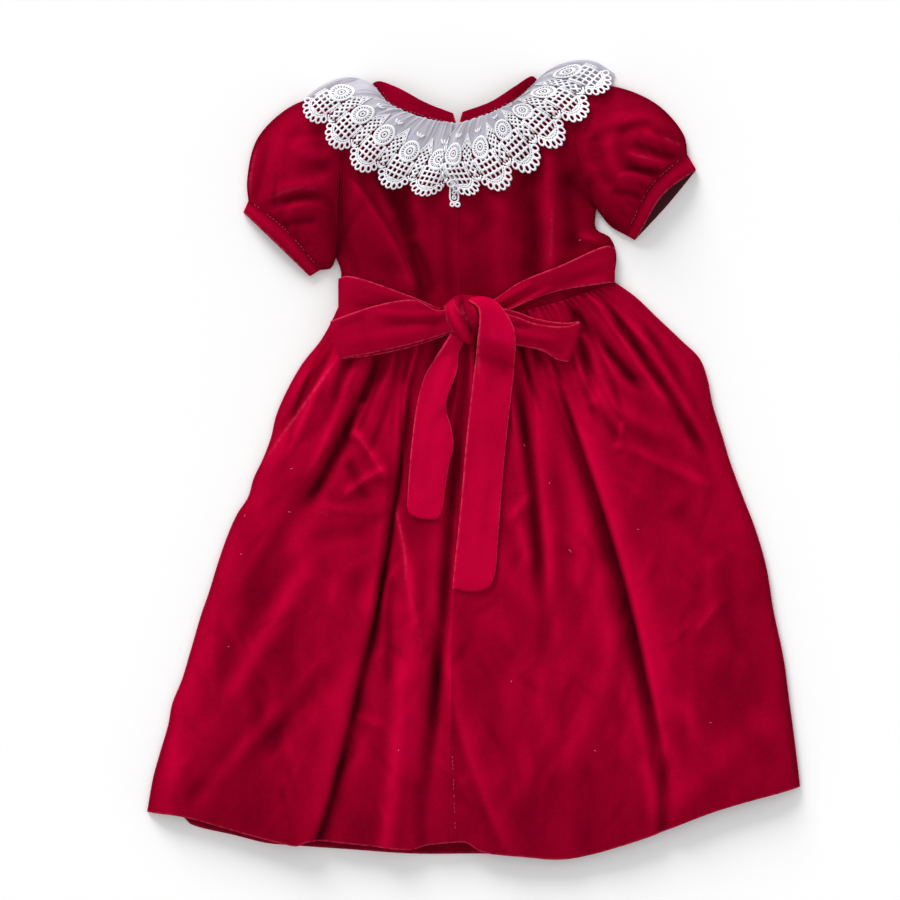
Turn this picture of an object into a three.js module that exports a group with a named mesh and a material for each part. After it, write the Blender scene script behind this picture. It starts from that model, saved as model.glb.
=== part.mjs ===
// A toddler's party dress in red velvet, laid flat on its front, so that its back faces up.
// Millimetres: +X to the right and +Y towards the neck as seen from above, +Z up.
import * as THREE from "three";

const { degToRad, lerp, smoothstep } = THREE.MathUtils;

// Cloths and clearances
const velvet = 1.6; // backing and pile
const sashCloth = 2.4; // velvet sewn double
const laceCloth = 1.2; // guipure and gathered organza
const seam = 0.3; // left open between two pieces at a seam
const laid = 0.45; // cloth laid on other cloth clears it by this much

// Heights, each of a piece's upper face over the cloth that it rests on
const edgeTop = velvet + laid + velvet; // back and front, one on the other at a side
const waistTop = 10;
const skirtTop = 14;
const bodiceTop = 13;
const edgeRound = 9; // how far in from a side the back has swelled to its height

// Corners of the pattern that several pieces share
const centreNeck = { x: -12, y: 267 };
const centreWaist = { x: -9, y: 111 };
const centreHem = { x: -22, y: -309 };
const leftShoulder = { x: -107, y: 287 };
const leftNeck = { x: -78, y: 296 };
const leftUnderarm = { x: -110, y: 161 };
const leftWaist = { x: -108, y: 122 };
const leftHem = { x: -261, y: -282 };
const rightShoulder = { x: 82, y: 285 };
const rightNeck = { x: 48, y: 299 };
const rightUnderarm = { x: 98, y: 200 };
const rightWaist = { x: 112, y: 142 };
const rightHem = { x: 261, y: -262 };
const leftTip = { x: -139, y: 285 }; // where the collar's edge turns over the shoulder
const rightTip = { x: 113, y: 308 };

// Borders of the pattern as laid out, a row for each place where they turn
const borders = {
  leftSkirt: [
    leftWaist,
    { x: -122, y: 95 },
    { x: -156, y: 38 },
    { x: -180, y: -22 },
    { x: -214, y: -116 },
    { x: -244, y: -212 },
    leftHem,
  ],
  rightSkirt: [
    rightWaist,
    { x: 148, y: 111 },
    { x: 184, y: 78 },
    { x: 200, y: 10 },
    { x: 236, y: -97 },
    { x: 253, y: -193 },
    rightHem,
  ],
  centreSkirt: [centreWaist, { x: -15, y: -90 }, centreHem],
  leftBackHem: [leftHem, { x: -190, y: -292 }, { x: -120, y: -305 }, { x: -45, y: -312 }, centreHem],
  rightBackHem: [rightHem, { x: 196, y: -280 }, { x: 126, y: -306 }, { x: 62, y: -320 }, centreHem],
  frontHem: [
    leftHem,
    { x: -222, y: -294 },
    { x: -138, y: -308 },
    { x: -32, y: -315 },
    { x: 62, y: -318 },
    { x: 126, y: -305 },
    { x: 196, y: -279 },
    rightHem,
  ],
  leftWaistSeam: [leftWaist, { x: -60, y: 114 }, centreWaist],
  rightWaistSeam: [rightWaist, { x: 60, y: 124 }, centreWaist],
  leftArmhole: [leftShoulder, { x: -107, y: 225 }, leftUnderarm],
  rightArmhole: [rightShoulder, { x: 81, y: 255 }, { x: 88, y: 222 }, rightUnderarm],
  leftSideSeam: [leftUnderarm, { x: -106, y: 150 }, leftWaist],
  rightSideSeam: [rightUnderarm, { x: 98, y: 184 }, { x: 109, y: 177 }, { x: 114, y: 164 }, rightWaist],
  centreBodice: [centreNeck, { x: -12, y: 190 }, centreWaist],
  leftShoulderSeam: [leftShoulder, { x: -92, y: 293 }, leftNeck],
  rightShoulderSeam: [rightShoulder, { x: 65, y: 294 }, rightNeck],
  leftGather: [leftNeck, { x: -67, y: 283 }, { x: -38, y: 271 }, centreNeck],
  rightGather: [rightNeck, { x: 35, y: 287 }, { x: 10, y: 274 }, centreNeck],
  leftBand: [{ x: -80, y: 302 }, { x: -62, y: 297 }, { x: -38, y: 284 }, { x: -14, y: 275 }],
  rightBand: [{ x: 48, y: 306 }, { x: 34, y: 298 }, { x: 14, y: 285 }, { x: -9, y: 276 }],
  frontGather: [
    leftNeck,
    { x: -66, y: 272 },
    { x: -44, y: 252 },
    { x: -15, y: 244 },
    { x: 14, y: 252 },
    { x: 36, y: 273 },
    rightNeck,
  ],
  frontBand: [
    { x: -72, y: 300 },
    { x: -58, y: 277 },
    { x: -39, y: 260 },
    { x: -15, y: 253 },
    { x: 9, y: 260 },
    { x: 28, y: 278 },
    { x: 42, y: 303 },
  ],
  leftCollarFold: [leftNeck, { x: -88, y: 303 }, { x: -104, y: 305 }, { x: -124, y: 297 }, leftTip],
  rightCollarFold: [rightNeck, { x: 60, y: 311 }, { x: 77, y: 318 }, { x: 96, y: 318 }, rightTip],
  leftCollarEdge: [leftTip, { x: -112, y: 253 }, { x: -88, y: 231 }, { x: -62, y: 217 }, { x: -26, y: 210 }],
  rightCollarEdge: [
    rightTip,
    { x: 100, y: 292 },
    { x: 62, y: 249 },
    { x: 38, y: 228 },
    { x: 14, y: 215 },
    { x: -18, y: 213 },
  ],
  frontCollarEdge: [
    leftTip,
    { x: -122, y: 240 },
    { x: -78, y: 201 },
    { x: -15, y: 188 },
    { x: 50, y: 205 },
    { x: 96, y: 250 },
    rightTip,
  ],
};

// Folds of the back of the skirt and bodice: ridges, and troughs where high is below zero.
// Each runs down from x0, y0 to x1, y1, bent aside by bow, and dies out over west and east of it.
const folds = [
  { x0: -66, y0: 100, x1: -142, y1: -345, bow: 15, west: 30, east: 6, high: 8 },
  { x0: -56, y0: 100, x1: -126, y1: -345, bow: 15, west: 6, east: 10, high: -3.5 },
  { x0: -19, y0: 60, x1: -72, y1: -345, bow: 19, west: 9, east: 8, high: -4.5 },
  { x0: -27, y0: -110, x1: 38, y1: -330, bow: -6, west: 9, east: 16, high: 5 },
  { x0: -54, y0: 52, x1: -92, y1: -185, bow: 2, west: 7, east: 10, high: 4 },
  { x0: -59, y0: -30, x1: -46, y1: -160, bow: 2, west: 7, east: 8, high: 3.5 },
  { x0: -67, y0: -165, x1: -70, y1: -345, bow: 0, west: 8, east: 8, high: 4 },
  { x0: -84, y0: 76, x1: -204, y1: -160, bow: 0, west: 12, east: 14, high: -4 },
  { x0: -104, y0: 92, x1: -178, y1: -22, bow: 0, west: 9, east: 11, high: 4 },
  { x0: -132, y0: -80, x1: -212, y1: -225, bow: 0, west: 11, east: 13, high: 3.5 },
  { x0: -185, y0: -215, x1: -238, y1: -285, bow: 0, west: 8, east: 9, high: -2.5 },
  { x0: -180, y0: -34, x1: -80, y1: -48, bow: 0, west: 8, east: 8, high: -1.5 },
  { x0: 31, y0: 90, x1: 62, y1: -130, bow: 3, west: 9, east: 9, high: -4.5 },
  { x0: 22, y0: 70, x1: 44, y1: -110, bow: 3, west: 8, east: 8, high: 3 },
  { x0: 58, y0: 90, x1: 156, y1: -330, bow: 18, west: 10, east: 8, high: -5 },
  { x0: 72, y0: 90, x1: 172, y1: -330, bow: 18, west: 8, east: 26, high: 4.5 },
  { x0: 46, y0: 80, x1: 104, y1: -190, bow: 9, west: 14, east: 9, high: 4 },
  { x0: 118, y0: 118, x1: 210, y1: -20, bow: 0, west: 8, east: 10, high: 4 },
  { x0: 98, y0: 125, x1: 165, y1: 55, bow: 0, west: 7, east: 8, high: -3 },
  { x0: 112, y0: -125, x1: 72, y1: -225, bow: 0, west: 9, east: 10, high: 3 },
  { x0: 232, y0: -215, x1: 150, y1: -282, bow: 0, west: 10, east: 10, high: 3 },
  { x0: -104, y0: 215, x1: -46, y1: 125, bow: 6, west: 20, east: 5, high: 4 },
  { x0: -82, y0: 225, x1: -40, y1: 125, bow: 6, west: 6, east: 10, high: -3 },
  { x0: 47, y0: 250, x1: 55, y1: 140, bow: 0, west: 9, east: 7, high: -3 },
  { x0: 61, y0: 240, x1: 68, y1: 140, bow: 0, west: 6, east: 14, high: 3 },
  { x0: -30, y0: 205, x1: -36, y1: 130, bow: 0, west: 9, east: 9, high: 2 },
];
const gather = { each: 7, high: 2.4, reach: 45 }; // in each half of the skirt, free of the sash and dying out

const sleeves = {
  left: {
    outer: [leftShoulder, leftTip, { x: -172, y: 257 }, { x: -181, y: 222 }, { x: -180, y: 206 }],
    under: [leftUnderarm, { x: -114, y: 153 }, { x: -123, y: 151 }],
    armhole: borders.leftArmhole,
    cuffSeam: [{ x: -180, y: 206 }, { x: -150, y: 184 }, { x: -123, y: 151 }],
    cuffEdge: [{ x: -184, y: 197 }, { x: -160, y: 174 }, { x: -131, y: 146 }],
    gape: 6,
    pulledBack: 0,
  },
  right: {
    outer: [rightShoulder, { x: 102, y: 298 }, { x: 144, y: 285 }, { x: 168, y: 259 }, { x: 171, y: 243 }],
    under: [rightUnderarm, { x: 110, y: 186 }, { x: 122, y: 179 }],
    armhole: borders.rightArmhole,
    cuffSeam: [{ x: 171, y: 243 }, { x: 142, y: 218 }, { x: 122, y: 179 }],
    cuffEdge: [{ x: 178, y: 231 }, { x: 155, y: 203 }, { x: 129, y: 175 }],
    gape: 12,
    pulledBack: 0.4,
  },
};
const puff = { high: 14, headGathers: 4, cuffGathers: 4, gatherHigh: 1.3 };

const collar = {
  repeat: 29, // from one scallop to the next
  scallop: 5.5,
  ruffles: 7,
  ruffleHigh: 4.5,
  gapsInRepeat: 4,
  gapWide: 0.62, // of its share of the repeat
  rows: [0, 0.2, 0.38, 0.6, 0.685, 0.85, 0.935, 1], // from the gathered edge to the scallops
  cutRows: [3, 5],
};

const sash = {
  left: {
    side: [{ x: -108, y: 144 }, { x: -108, y: 115 }],
    centre: [{ x: -28, y: 121 }, { x: -28, y: 100 }],
    top: [{ x: -108, y: 144 }, { x: -98, y: 145 }, { x: -51, y: 130 }, { x: -28, y: 121 }],
    bottom: [{ x: -108, y: 115 }, { x: -60, y: 108 }, { x: -28, y: 100 }],
  },
  right: {
    side: [{ x: 112, y: 169 }, { x: 113, y: 142 }],
    centre: [{ x: 13, y: 126 }, { x: 13, y: 104 }],
    top: [{ x: 112, y: 169 }, { x: 69, y: 154 }, { x: 37, y: 140 }, { x: 13, y: 126 }],
    bottom: [{ x: 113, y: 142 }, { x: 61, y: 129 }, { x: 32, y: 115 }, { x: 13, y: 104 }],
  },
};
const bow = {
  loopOpen: 9, // between the two layers of a loop
  knotHigh: 13,
  left: {
    side: [{ x: -27.6, y: 117 }, { x: -27.6, y: 100 }],
    centre: [{ x: -113, y: 110 }, { x: -105, y: 80 }],
    top: [{ x: -27.6, y: 117 }, { x: -48, y: 125 }, { x: -77, y: 121 }, { x: -113, y: 110 }],
    bottom: [{ x: -27.6, y: 100 }, { x: -50, y: 91 }, { x: -105, y: 80 }],
  },
  right: {
    side: [{ x: 12.8, y: 119 }, { x: 12.8, y: 97 }],
    centre: [{ x: 84, y: 110 }, { x: 77, y: 77 }],
    top: [{ x: 12.8, y: 119 }, { x: 34, y: 115 }, { x: 50, y: 109 }, { x: 84, y: 110 }],
    bottom: [{ x: 12.8, y: 97 }, { x: 36, y: 90 }, { x: 77, y: 77 }],
  },
  knot: {
    side: [{ x: -21, y: 124 }, { x: -27, y: 112 }, { x: -18, y: 96 }],
    centre: [{ x: 8, y: 127 }, { x: 12, y: 112 }, { x: 6, y: 94 }],
    top: [{ x: -21, y: 124 }, { x: -7, y: 130 }, { x: 8, y: 127 }],
    bottom: [{ x: -18, y: 96 }, { x: -6, y: 90.5 }, { x: 6, y: 94 }],
  },
  leftTail: {
    side: [{ x: -23, y: 90 }, { x: -37, y: 67 }, { x: -48, y: 30 }, { x: -53, y: -38 }],
    centre: [{ x: -7, y: 89 }, { x: -20, y: 45 }, { x: -18, y: 5 }, { x: -26, y: -48 }],
    top: [{ x: -23, y: 90 }, { x: -7, y: 89 }],
    bottom: [{ x: -53, y: -38 }, { x: -39, y: -47 }, { x: -26, y: -48 }],
  },
  rightTail: {
    side: [{ x: 1, y: 122 }, { x: -1, y: 78 }, { x: -8, y: -4 }, { x: -17, y: -103 }],
    centre: [{ x: 22, y: 122 }, { x: 34, y: 100 }, { x: 24, y: -4 }, { x: 16, y: -102 }],
    top: [{ x: 1, y: 122 }, { x: 22, y: 122 }],
    bottom: [{ x: -17, y: -103 }, { x: 16, y: -102 }],
  },
};

const redVelvet = new THREE.MeshStandardMaterial({ color: 0x8d0522, roughness: 0.9, metalness: 0 });
const whiteLace = new THREE.MeshStandardMaterial({ color: 0xdcdae2, roughness: 0.8, metalness: 0 });

const neckSteps = { front: 18, back: 10 }; // alike in the pieces that meet at the neck

const steps = (count) => Array.from({ length: count + 1 }, (_, k) => k / count);

// A border through a table's rows, or through several tables end to end, by its length from 0 to 1.
// It is smooth along each table.
function border(tables) {
  const path = new THREE.CurvePath();
  for (const rows of Array.isArray(tables[0]) ? tables : [tables]) {
    const points = rows.map(({ x, y }) => new THREE.Vector3(x, y, 0));
    path.add(new THREE.CatmullRomCurve3(points, false, "centripetal"));
  }
  const at = (t) => path.getPointAt(THREE.MathUtils.clamp(t, 0, 1));
  return { at, length: path.getLength(), start: at(0), end: at(1) };
}

// Places along a border of several tables, each cut into its count of equal steps.
function stations(tables, counts) {
  const lengths = tables.map((rows) => border(rows).length);
  const whole = lengths.reduce((sum, length) => sum + length, 0);
  let from = 0;
  const places = [0];
  for (const [k, count] of counts.entries()) {
    for (let step = 1; step <= count; step += 1) places.push((from + (step / count) * lengths[k]) / whole);
    from += lengths[k];
  }
  return places;
}

// Fills four borders: u goes from the side one to the centre one, v from the top one to the bottom one.
// Half a seam is left free all round.
function plan({ side, centre, top, bottom }) {
  const [s, c, t, b] = [side, centre, top, bottom].map(border);
  const spare = (a, z) => seam / 2 / Math.min(a.length, z.length);
  const [aside, above] = [spare(t, b), spare(s, c)];
  return (uWhole, vWhole) => {
    const u = lerp(aside, 1 - aside, uWhole);
    const v = lerp(above, 1 - above, vWhole);
    const [ps, pc, pt, pb] = [s.at(v), c.at(v), t.at(u), b.at(u)];
    const mix = (k) =>
      lerp(ps[k], pc[k], u) +
      lerp(pt[k], pb[k], v) -
      lerp(lerp(s.start[k], c.start[k], u), lerp(s.end[k], c.end[k], u), v);
    return { x: mix("x"), y: mix("y") };
  };
}

// A closed wall between an outer and an inner grid of points, each a list of rows.
function wall(outer, inner, { around = false, cut = () => false } = {}) {
  const rows = outer.length;
  const columns = outer[0].length;
  const at = (r, c, face) => (face * rows + r) * columns + (c % columns);
  const there = (r, c) => {
    if (r < 0 || r > rows - 2) return false;
    if (!around && (c < 0 || c > columns - 2)) return false;
    return !cut(r, (c + columns) % columns);
  };
  const faces = [];
  const quad = (a, b, c, d) => faces.push([a, b, c], [a, c, d]);
  for (let r = 0; r < rows - 1; r += 1) {
    for (let c = 0; c < (around ? columns : columns - 1); c += 1) {
      if (!there(r, c)) continue;
      quad(at(r, c, 0), at(r + 1, c, 0), at(r + 1, c + 1, 0), at(r, c + 1, 0));
      quad(at(r, c, 1), at(r, c + 1, 1), at(r + 1, c + 1, 1), at(r + 1, c, 1));
      if (!there(r - 1, c)) quad(at(r, c, 0), at(r, c + 1, 0), at(r, c + 1, 1), at(r, c, 1));
      if (!there(r + 1, c)) quad(at(r + 1, c + 1, 0), at(r + 1, c, 0), at(r + 1, c, 1), at(r + 1, c + 1, 1));
      if (!there(r, c - 1)) quad(at(r + 1, c, 0), at(r, c, 0), at(r, c, 1), at(r + 1, c, 1));
      if (!there(r, c + 1)) quad(at(r, c + 1, 0), at(r + 1, c + 1, 0), at(r + 1, c + 1, 1), at(r, c + 1, 1));
    }
  }
  const points = [...outer.flat(), ...inner.flat()].map((p) => new THREE.Vector3(p.x, p.y, p.z));
  const volume = faces.reduce((sum, [a, b, c]) => sum + points[a].dot(points[b].clone().cross(points[c])), 0);
  if (volume < 0) faces.forEach((face) => face.reverse());
  const geometry = new THREE.BufferGeometry().setFromPoints(points);
  geometry.setIndex(faces.flat());
  geometry.computeVertexNormals();
  return geometry;
}

// One layer of cloth over a plan, with the height of its upper face as a function of the place.
function sheet(place, us, vs, top, thickness, options) {
  const grid = (drop) =>
    vs.map((v) =>
      us.map((u) => {
        const { x, y } = place(u, v);
        return { x, y, z: top(u, v, x, y) - drop };
      }),
    );
  return wall(grid(0), grid(thickness), options);
}

// A lower layer folded back into an upper one at u = 1, and at u = 0 too where it goes around.
function foldedSheet(place, us, vs, bottom, top, { thickness, width, around = false, pull = () => 0 }) {
  const inset = thickness / width;
  const grid = (drop) => {
    const narrowed = (u) => (drop === 0 ? u : lerp(around ? inset : 0, 1 - inset, u));
    return vs.map((v) => {
      const point = (uWhole, upper) => {
        const u = narrowed(uWhole);
        const { x, y } = place(u, upper ? v * (1 - pull(u)) : v);
        return { x, y, z: upper ? top(u, v, x, y) - drop : bottom(u, v, x, y) + drop };
      };
      return [...us.map((u) => point(u, false)), ...us.toReversed().map((u) => point(u, true))];
    });
  };
  return wall(grid(0), grid(thickness), { around });
}

// The height of the highest of some pieces over a point of the plan, 0 where there is none.
function heightOver(pieces) {
  const bin = 12;
  const bins = new Map();
  const key = (x, y) => `${Math.floor(x / bin)} ${Math.floor(y / bin)}`;
  for (const { geometry } of pieces) {
    const position = geometry.getAttribute("position");
    for (let i = 0; i < geometry.index.count; i += 3) {
      const corner = (k) => new THREE.Vector3().fromBufferAttribute(position, geometry.index.getX(i + k));
      const corners = [0, 1, 2].map(corner);
      const { min, max } = new THREE.Box3().setFromPoints(corners);
      for (let x = Math.floor(min.x / bin) * bin; x <= max.x; x += bin) {
        for (let y = Math.floor(min.y / bin) * bin; y <= max.y; y += bin) {
          if (!bins.has(key(x, y))) bins.set(key(x, y), []);
          bins.get(key(x, y)).push(corners);
        }
      }
    }
  }
  return (x, y) => {
    let height = 0;
    for (const [a, b, c] of bins.get(key(x, y)) ?? []) {
      const area = (b.x - a.x) * (c.y - a.y) - (c.x - a.x) * (b.y - a.y);
      if (Math.abs(area) < 1e-6) continue;
      const s = ((x - a.x) * (c.y - a.y) - (c.x - a.x) * (y - a.y)) / area;
      const t = ((b.x - a.x) * (y - a.y) - (x - a.x) * (b.y - a.y)) / area;
      if (s < 0 || t < 0 || s + t > 1) continue;
      height = Math.max(height, a.z + s * (b.z - a.z) + t * (c.z - a.z));
    }
    return height;
  };
}

// The lowest height at which cloth clears all that lies within reach of a point.
function restOn(pieces, reach) {
  const height = heightOver(pieces);
  return (x, y) => {
    let highest = height(x, y);
    for (let k = 0; k < 16; k += 1) {
      const angle = degToRad(22.5 * k);
      const away = k % 2 ? reach : reach / 2;
      highest = Math.max(highest, height(x + away * Math.cos(angle), y + away * Math.sin(angle)));
    }
    return highest + laid;
  };
}

function foldHeight(x, y) {
  let sum = 0;
  for (const fold of folds) {
    const [dx, dy] = [fold.x1 - fold.x0, fold.y1 - fold.y0];
    const length = Math.hypot(dx, dy);
    const along = ((x - fold.x0) * dx + (y - fold.y0) * dy) / length ** 2;
    if (along <= 0 || along >= 1) continue;
    const aside = (-(x - fold.x0) * dy + (y - fold.y0) * dx) / length - fold.bow * 4 * along * (1 - along);
    const ends = smoothstep(along, 0, 0.18) * (1 - smoothstep(along, 0.82, 1));
    sum += fold.high * ends * Math.exp(-((aside / (aside < 0 ? fold.west : fold.east)) ** 2));
  }
  return sum;
}

const swell = (distance) => 1 - Math.exp(-distance / edgeRound);

// The front of the collar lies under the bodice and the sleeves, and lifts them by its thickness.
function lift(x, y) {
  const reach = Math.hypot((x + 14) / 129, (y - 300) / 117);
  return (laceCloth + seam) * (1 - smoothstep(reach, 1.16, 1.36));
}

const dress = new THREE.Group();
function add(name, geometry, material = redVelvet) {
  const mesh = new THREE.Mesh(geometry, material);
  mesh.name = name;
  dress.add(mesh);
  return mesh;
}

// Front layers, flat on the surface; those of the bodice and the skirt share their steps along the waist
const wholeWaist = [borders.leftWaistSeam, borders.rightWaistSeam.toReversed()];
const frontNeckline = [borders.leftShoulderSeam, borders.frontGather, borders.rightShoulderSeam.toReversed()];
const frontSteps = stations(frontNeckline, [2, neckSteps.front, 2]);
add(
  "skirt_front",
  sheet(
    plan({ side: borders.leftSkirt, centre: borders.rightSkirt, top: wholeWaist, bottom: borders.frontHem }),
    frontSteps,
    steps(9),
    () => velvet,
    velvet,
  ),
);
add(
  "bodice_front",
  sheet(
    plan({
      side: [borders.leftArmhole, borders.leftSideSeam],
      centre: [borders.rightArmhole, borders.rightSideSeam],
      top: frontNeckline,
      bottom: wholeWaist,
    }),
    frontSteps,
    stations([borders.rightArmhole, borders.rightSideSeam], [9, 5]),
    (u, v, x, y) => lift(x, y) + velvet,
    velvet,
  ),
);
add(
  "neckband_front",
  sheet(
    plan({
      side: [borders.frontBand[0], leftNeck],
      centre: [borders.frontBand.at(-1), rightNeck],
      top: borders.frontBand,
      bottom: borders.frontGather,
    }),
    steps(neckSteps.front),
    steps(1),
    (u, v, x, y) => lift(x, y) + velvet,
    velvet,
  ),
);

const frontCollar = plan({
  side: borders.leftCollarFold,
  centre: borders.rightCollarFold,
  top: borders.frontGather,
  bottom: borders.frontCollarEdge,
});
add("collar_front", sheet(frontCollar, steps(36), steps(3), () => laceCloth, laceCloth), whiteLace);

// The back of the skirt, in two halves that meet at the centre seam
function skirtBack(side, hem, waistSeam) {
  const [sideBorder, hemBorder, waistBorder] = [side, hem, waistSeam].map(border);
  const place = plan({ side, centre: borders.centreSkirt, top: waistSeam, bottom: hem });
  const top = (u, v, x, y) => {
    const fromSide = u * lerp(waistBorder.length, hemBorder.length, v);
    const fromWaist = v * sideBorder.length;
    const crown = lerp(waistTop, skirtTop, smoothstep(fromWaist, 10, 110));
    const free = smoothstep(fromWaist, 4, 22) * Math.exp(-fromWaist / gather.reach);
    const gathers = gather.high * free * Math.sin(2 * Math.PI * gather.each * u);
    return edgeTop + (crown - edgeTop + foldHeight(x, y) + gathers) * swell(fromSide);
  };
  return sheet(place, steps(28), steps(16).map((v) => v ** 1.25), top, velvet);
}
const skirtBacks = [
  add("skirt_back_left", skirtBack(borders.leftSkirt, borders.leftBackHem, borders.leftWaistSeam)),
  add("skirt_back_right", skirtBack(borders.rightSkirt, borders.rightBackHem, borders.rightWaistSeam)),
];

// How far an armhole or sleeve stands open, from the shoulder at 0 to the underarm at 1.
const openAlong = (t) => 1 - Math.abs(2 * THREE.MathUtils.clamp(t, 0, 1) - 1) ** 2.4;

// The back of the bodice: low along the shoulder and side seams, open at the neck and the armhole
function bodiceBack(side, top, waistSeam) {
  const [sideBorder, armholeBorder, topBorder, shoulderBorder] = [side, side[0], top, top[0]].map(border);
  const armEnd = armholeBorder.length / sideBorder.length;
  const shoulderEnd = shoulderBorder.length / topBorder.length;
  const place = plan({ side, centre: borders.centreBodice, top, bottom: waistSeam });
  const height = (u, v, x, y) => {
    const sideOpen = v < armEnd ? openAlong(v / armEnd) : 0;
    const neckOpen = smoothstep(u, shoulderEnd, shoulderEnd + 0.35);
    const fromSide = Math.max(sideOpen, swell(u * topBorder.length));
    const fromTop = Math.max(neckOpen, swell(v * sideBorder.length));
    const crown = lerp(bodiceTop, waistTop, smoothstep(v, 0.6, 1));
    return lift(x, y) + edgeTop + (crown - edgeTop + foldHeight(x, y)) * Math.min(fromSide, fromTop);
  };
  return sheet(place, stations(top, [3, neckSteps.back]), stations(side, [9, 4]), height, velvet);
}
const bodiceBacks = [
  add(
    "bodice_back_left",
    bodiceBack(
      [borders.leftArmhole, borders.leftSideSeam],
      [borders.leftShoulderSeam, borders.leftGather],
      borders.leftWaistSeam,
    ),
  ),
  add(
    "bodice_back_right",
    bodiceBack(
      [borders.rightArmhole, borders.rightSideSeam],
      [borders.rightShoulderSeam, borders.rightGather],
      borders.rightWaistSeam,
    ),
  ),
];

// A puffed sleeve, gathered into the armhole and into its cuff
function sleeve({ outer, under, armhole, cuffSeam, gape }) {
  const place = plan({ side: outer, centre: under, top: armhole, bottom: cuffSeam });
  const top = (u, v, x, y) => {
    const swelling = lerp(bodiceTop - edgeTop, gape, v) + puff.high * Math.sin(Math.PI * v) ** 0.8;
    const atHead = smoothstep(v, 0, 0.12) * (1 - smoothstep(v, 0.15, 0.5));
    const atCuff = smoothstep(v, 0.5, 0.9);
    const headGathers = atHead * Math.sin(2 * Math.PI * puff.headGathers * u);
    const cuffGathers = atCuff * Math.sin(2 * Math.PI * puff.cuffGathers * u);
    return lift(x, y) + edgeTop + openAlong(u) * (swelling + puff.gatherHigh * (headGathers + cuffGathers));
  };
  const bottom = (u, v, x, y) => lift(x, y);
  const options = { thickness: velvet, width: border(cuffSeam).length, around: true };
  return foldedSheet(place, steps(14), steps(8), bottom, top, options);
}

function cuff({ cuffSeam, cuffEdge, gape, pulledBack }) {
  const place = plan({
    side: [cuffSeam[0], cuffEdge[0]],
    centre: [cuffSeam.at(-1), cuffEdge.at(-1)],
    top: cuffSeam,
    bottom: cuffEdge,
  });
  const top = (u) => edgeTop + gape * openAlong(u);
  const options = {
    thickness: velvet,
    width: border(cuffSeam).length,
    around: true,
    pull: (u) => pulledBack * Math.sin(Math.PI * u),
  };
  return foldedSheet(place, steps(14), steps(2), () => 0, top, options);
}
const sleeveMeshes = ["left", "right"].map((side) => {
  add(`cuff_${side}`, cuff(sleeves[side]));
  return add(`sleeve_${side}`, sleeve(sleeves[side]));
});

// The neckband stands on from the gathered edge of the bodice
function neckband(gatherLine, bandEdge) {
  const place = plan({
    side: [bandEdge[0], gatherLine[0]],
    centre: [bandEdge.at(-1), gatherLine.at(-1)],
    top: bandEdge,
    bottom: gatherLine,
  });
  const height = (u, v, x, y) => lift(x, y) + edgeTop + seam + (bodiceTop - edgeTop) * smoothstep(u, 0, 0.5);
  return sheet(place, steps(neckSteps.back), steps(2), height, velvet);
}
const neckbands = [
  add("neckband_back_left", neckband(borders.leftGather, borders.leftBand)),
  add("neckband_back_right", neckband(borders.rightGather, borders.rightBand)),
];

// Gathered organza with a lace border, from the shoulder fold to the centre of the back
function collarHalf(fold, edge, gatherLine) {
  const repeats = Math.round(border(edge).length / collar.repeat);
  const inner = plan({
    side: fold,
    centre: [gatherLine.at(-1), edge.at(-1)],
    top: gatherLine,
    bottom: edge,
  });
  const place = (u, v) => {
    const [from, to] = [inner(u, 0), inner(u, 1)];
    const depth = Math.hypot(to.x - from.x, to.y - from.y);
    const out = (collar.scallop * v ** 3 * (Math.abs(Math.sin(Math.PI * repeats * u)) - 0.5)) / depth;
    const { x, y } = inner(u, v);
    return { x: x + out * (to.x - from.x), y: y + out * (to.y - from.y) };
  };
  const share = 1 / (repeats * collar.gapsInRepeat);
  const us = [0];
  for (let k = 0; k < repeats * collar.gapsInRepeat; k += 1) {
    us.push((k + 1 - collar.gapWide) * share, (k + 1) * share);
  }
  const under = restOn([...bodiceBacks, ...sleeveMeshes, ...neckbands], 6);
  const low = laceCloth + seam;
  const height = (u, v, x, y) => {
    const wave = 0.5 - 0.5 * Math.cos(2 * Math.PI * collar.ruffles * u);
    return Math.max(low, under(x, y)) + collar.ruffleHigh * wave * v * smoothstep(u, 0, 0.1) + laceCloth;
  };
  const cut = (row, column) => collar.cutRows.includes(row) && column % 2 === 1;
  return sheet(place, us, collar.rows, height, laceCloth, { cut });
}
const leftCollar = collarHalf(borders.leftCollarFold, borders.leftCollarEdge, borders.leftGather);
const rightCollar = collarHalf(borders.rightCollarFold, borders.rightCollarEdge, borders.rightGather);
add("collar_left", leftCollar, whiteLace);
add("collar_right", rightCollar, whiteLace);

// Sash and bow, each laid on what is under it
function lyingStrip(tables, across, down, under) {
  const height = (u, v, x, y) => under(x, y) + sashCloth;
  return sheet(plan(tables), steps(across), steps(down), height, sashCloth);
}
const dressBack = [...skirtBacks, ...bodiceBacks];
const onBack = restOn(dressBack, 13);
const sashBands = ["left", "right"].map((side) =>
  add(`sash_band_${side}`, lyingStrip(sash[side], 12, 3, onBack)),
);
const onSash = restOn([...dressBack, ...sashBands], 13);
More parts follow.
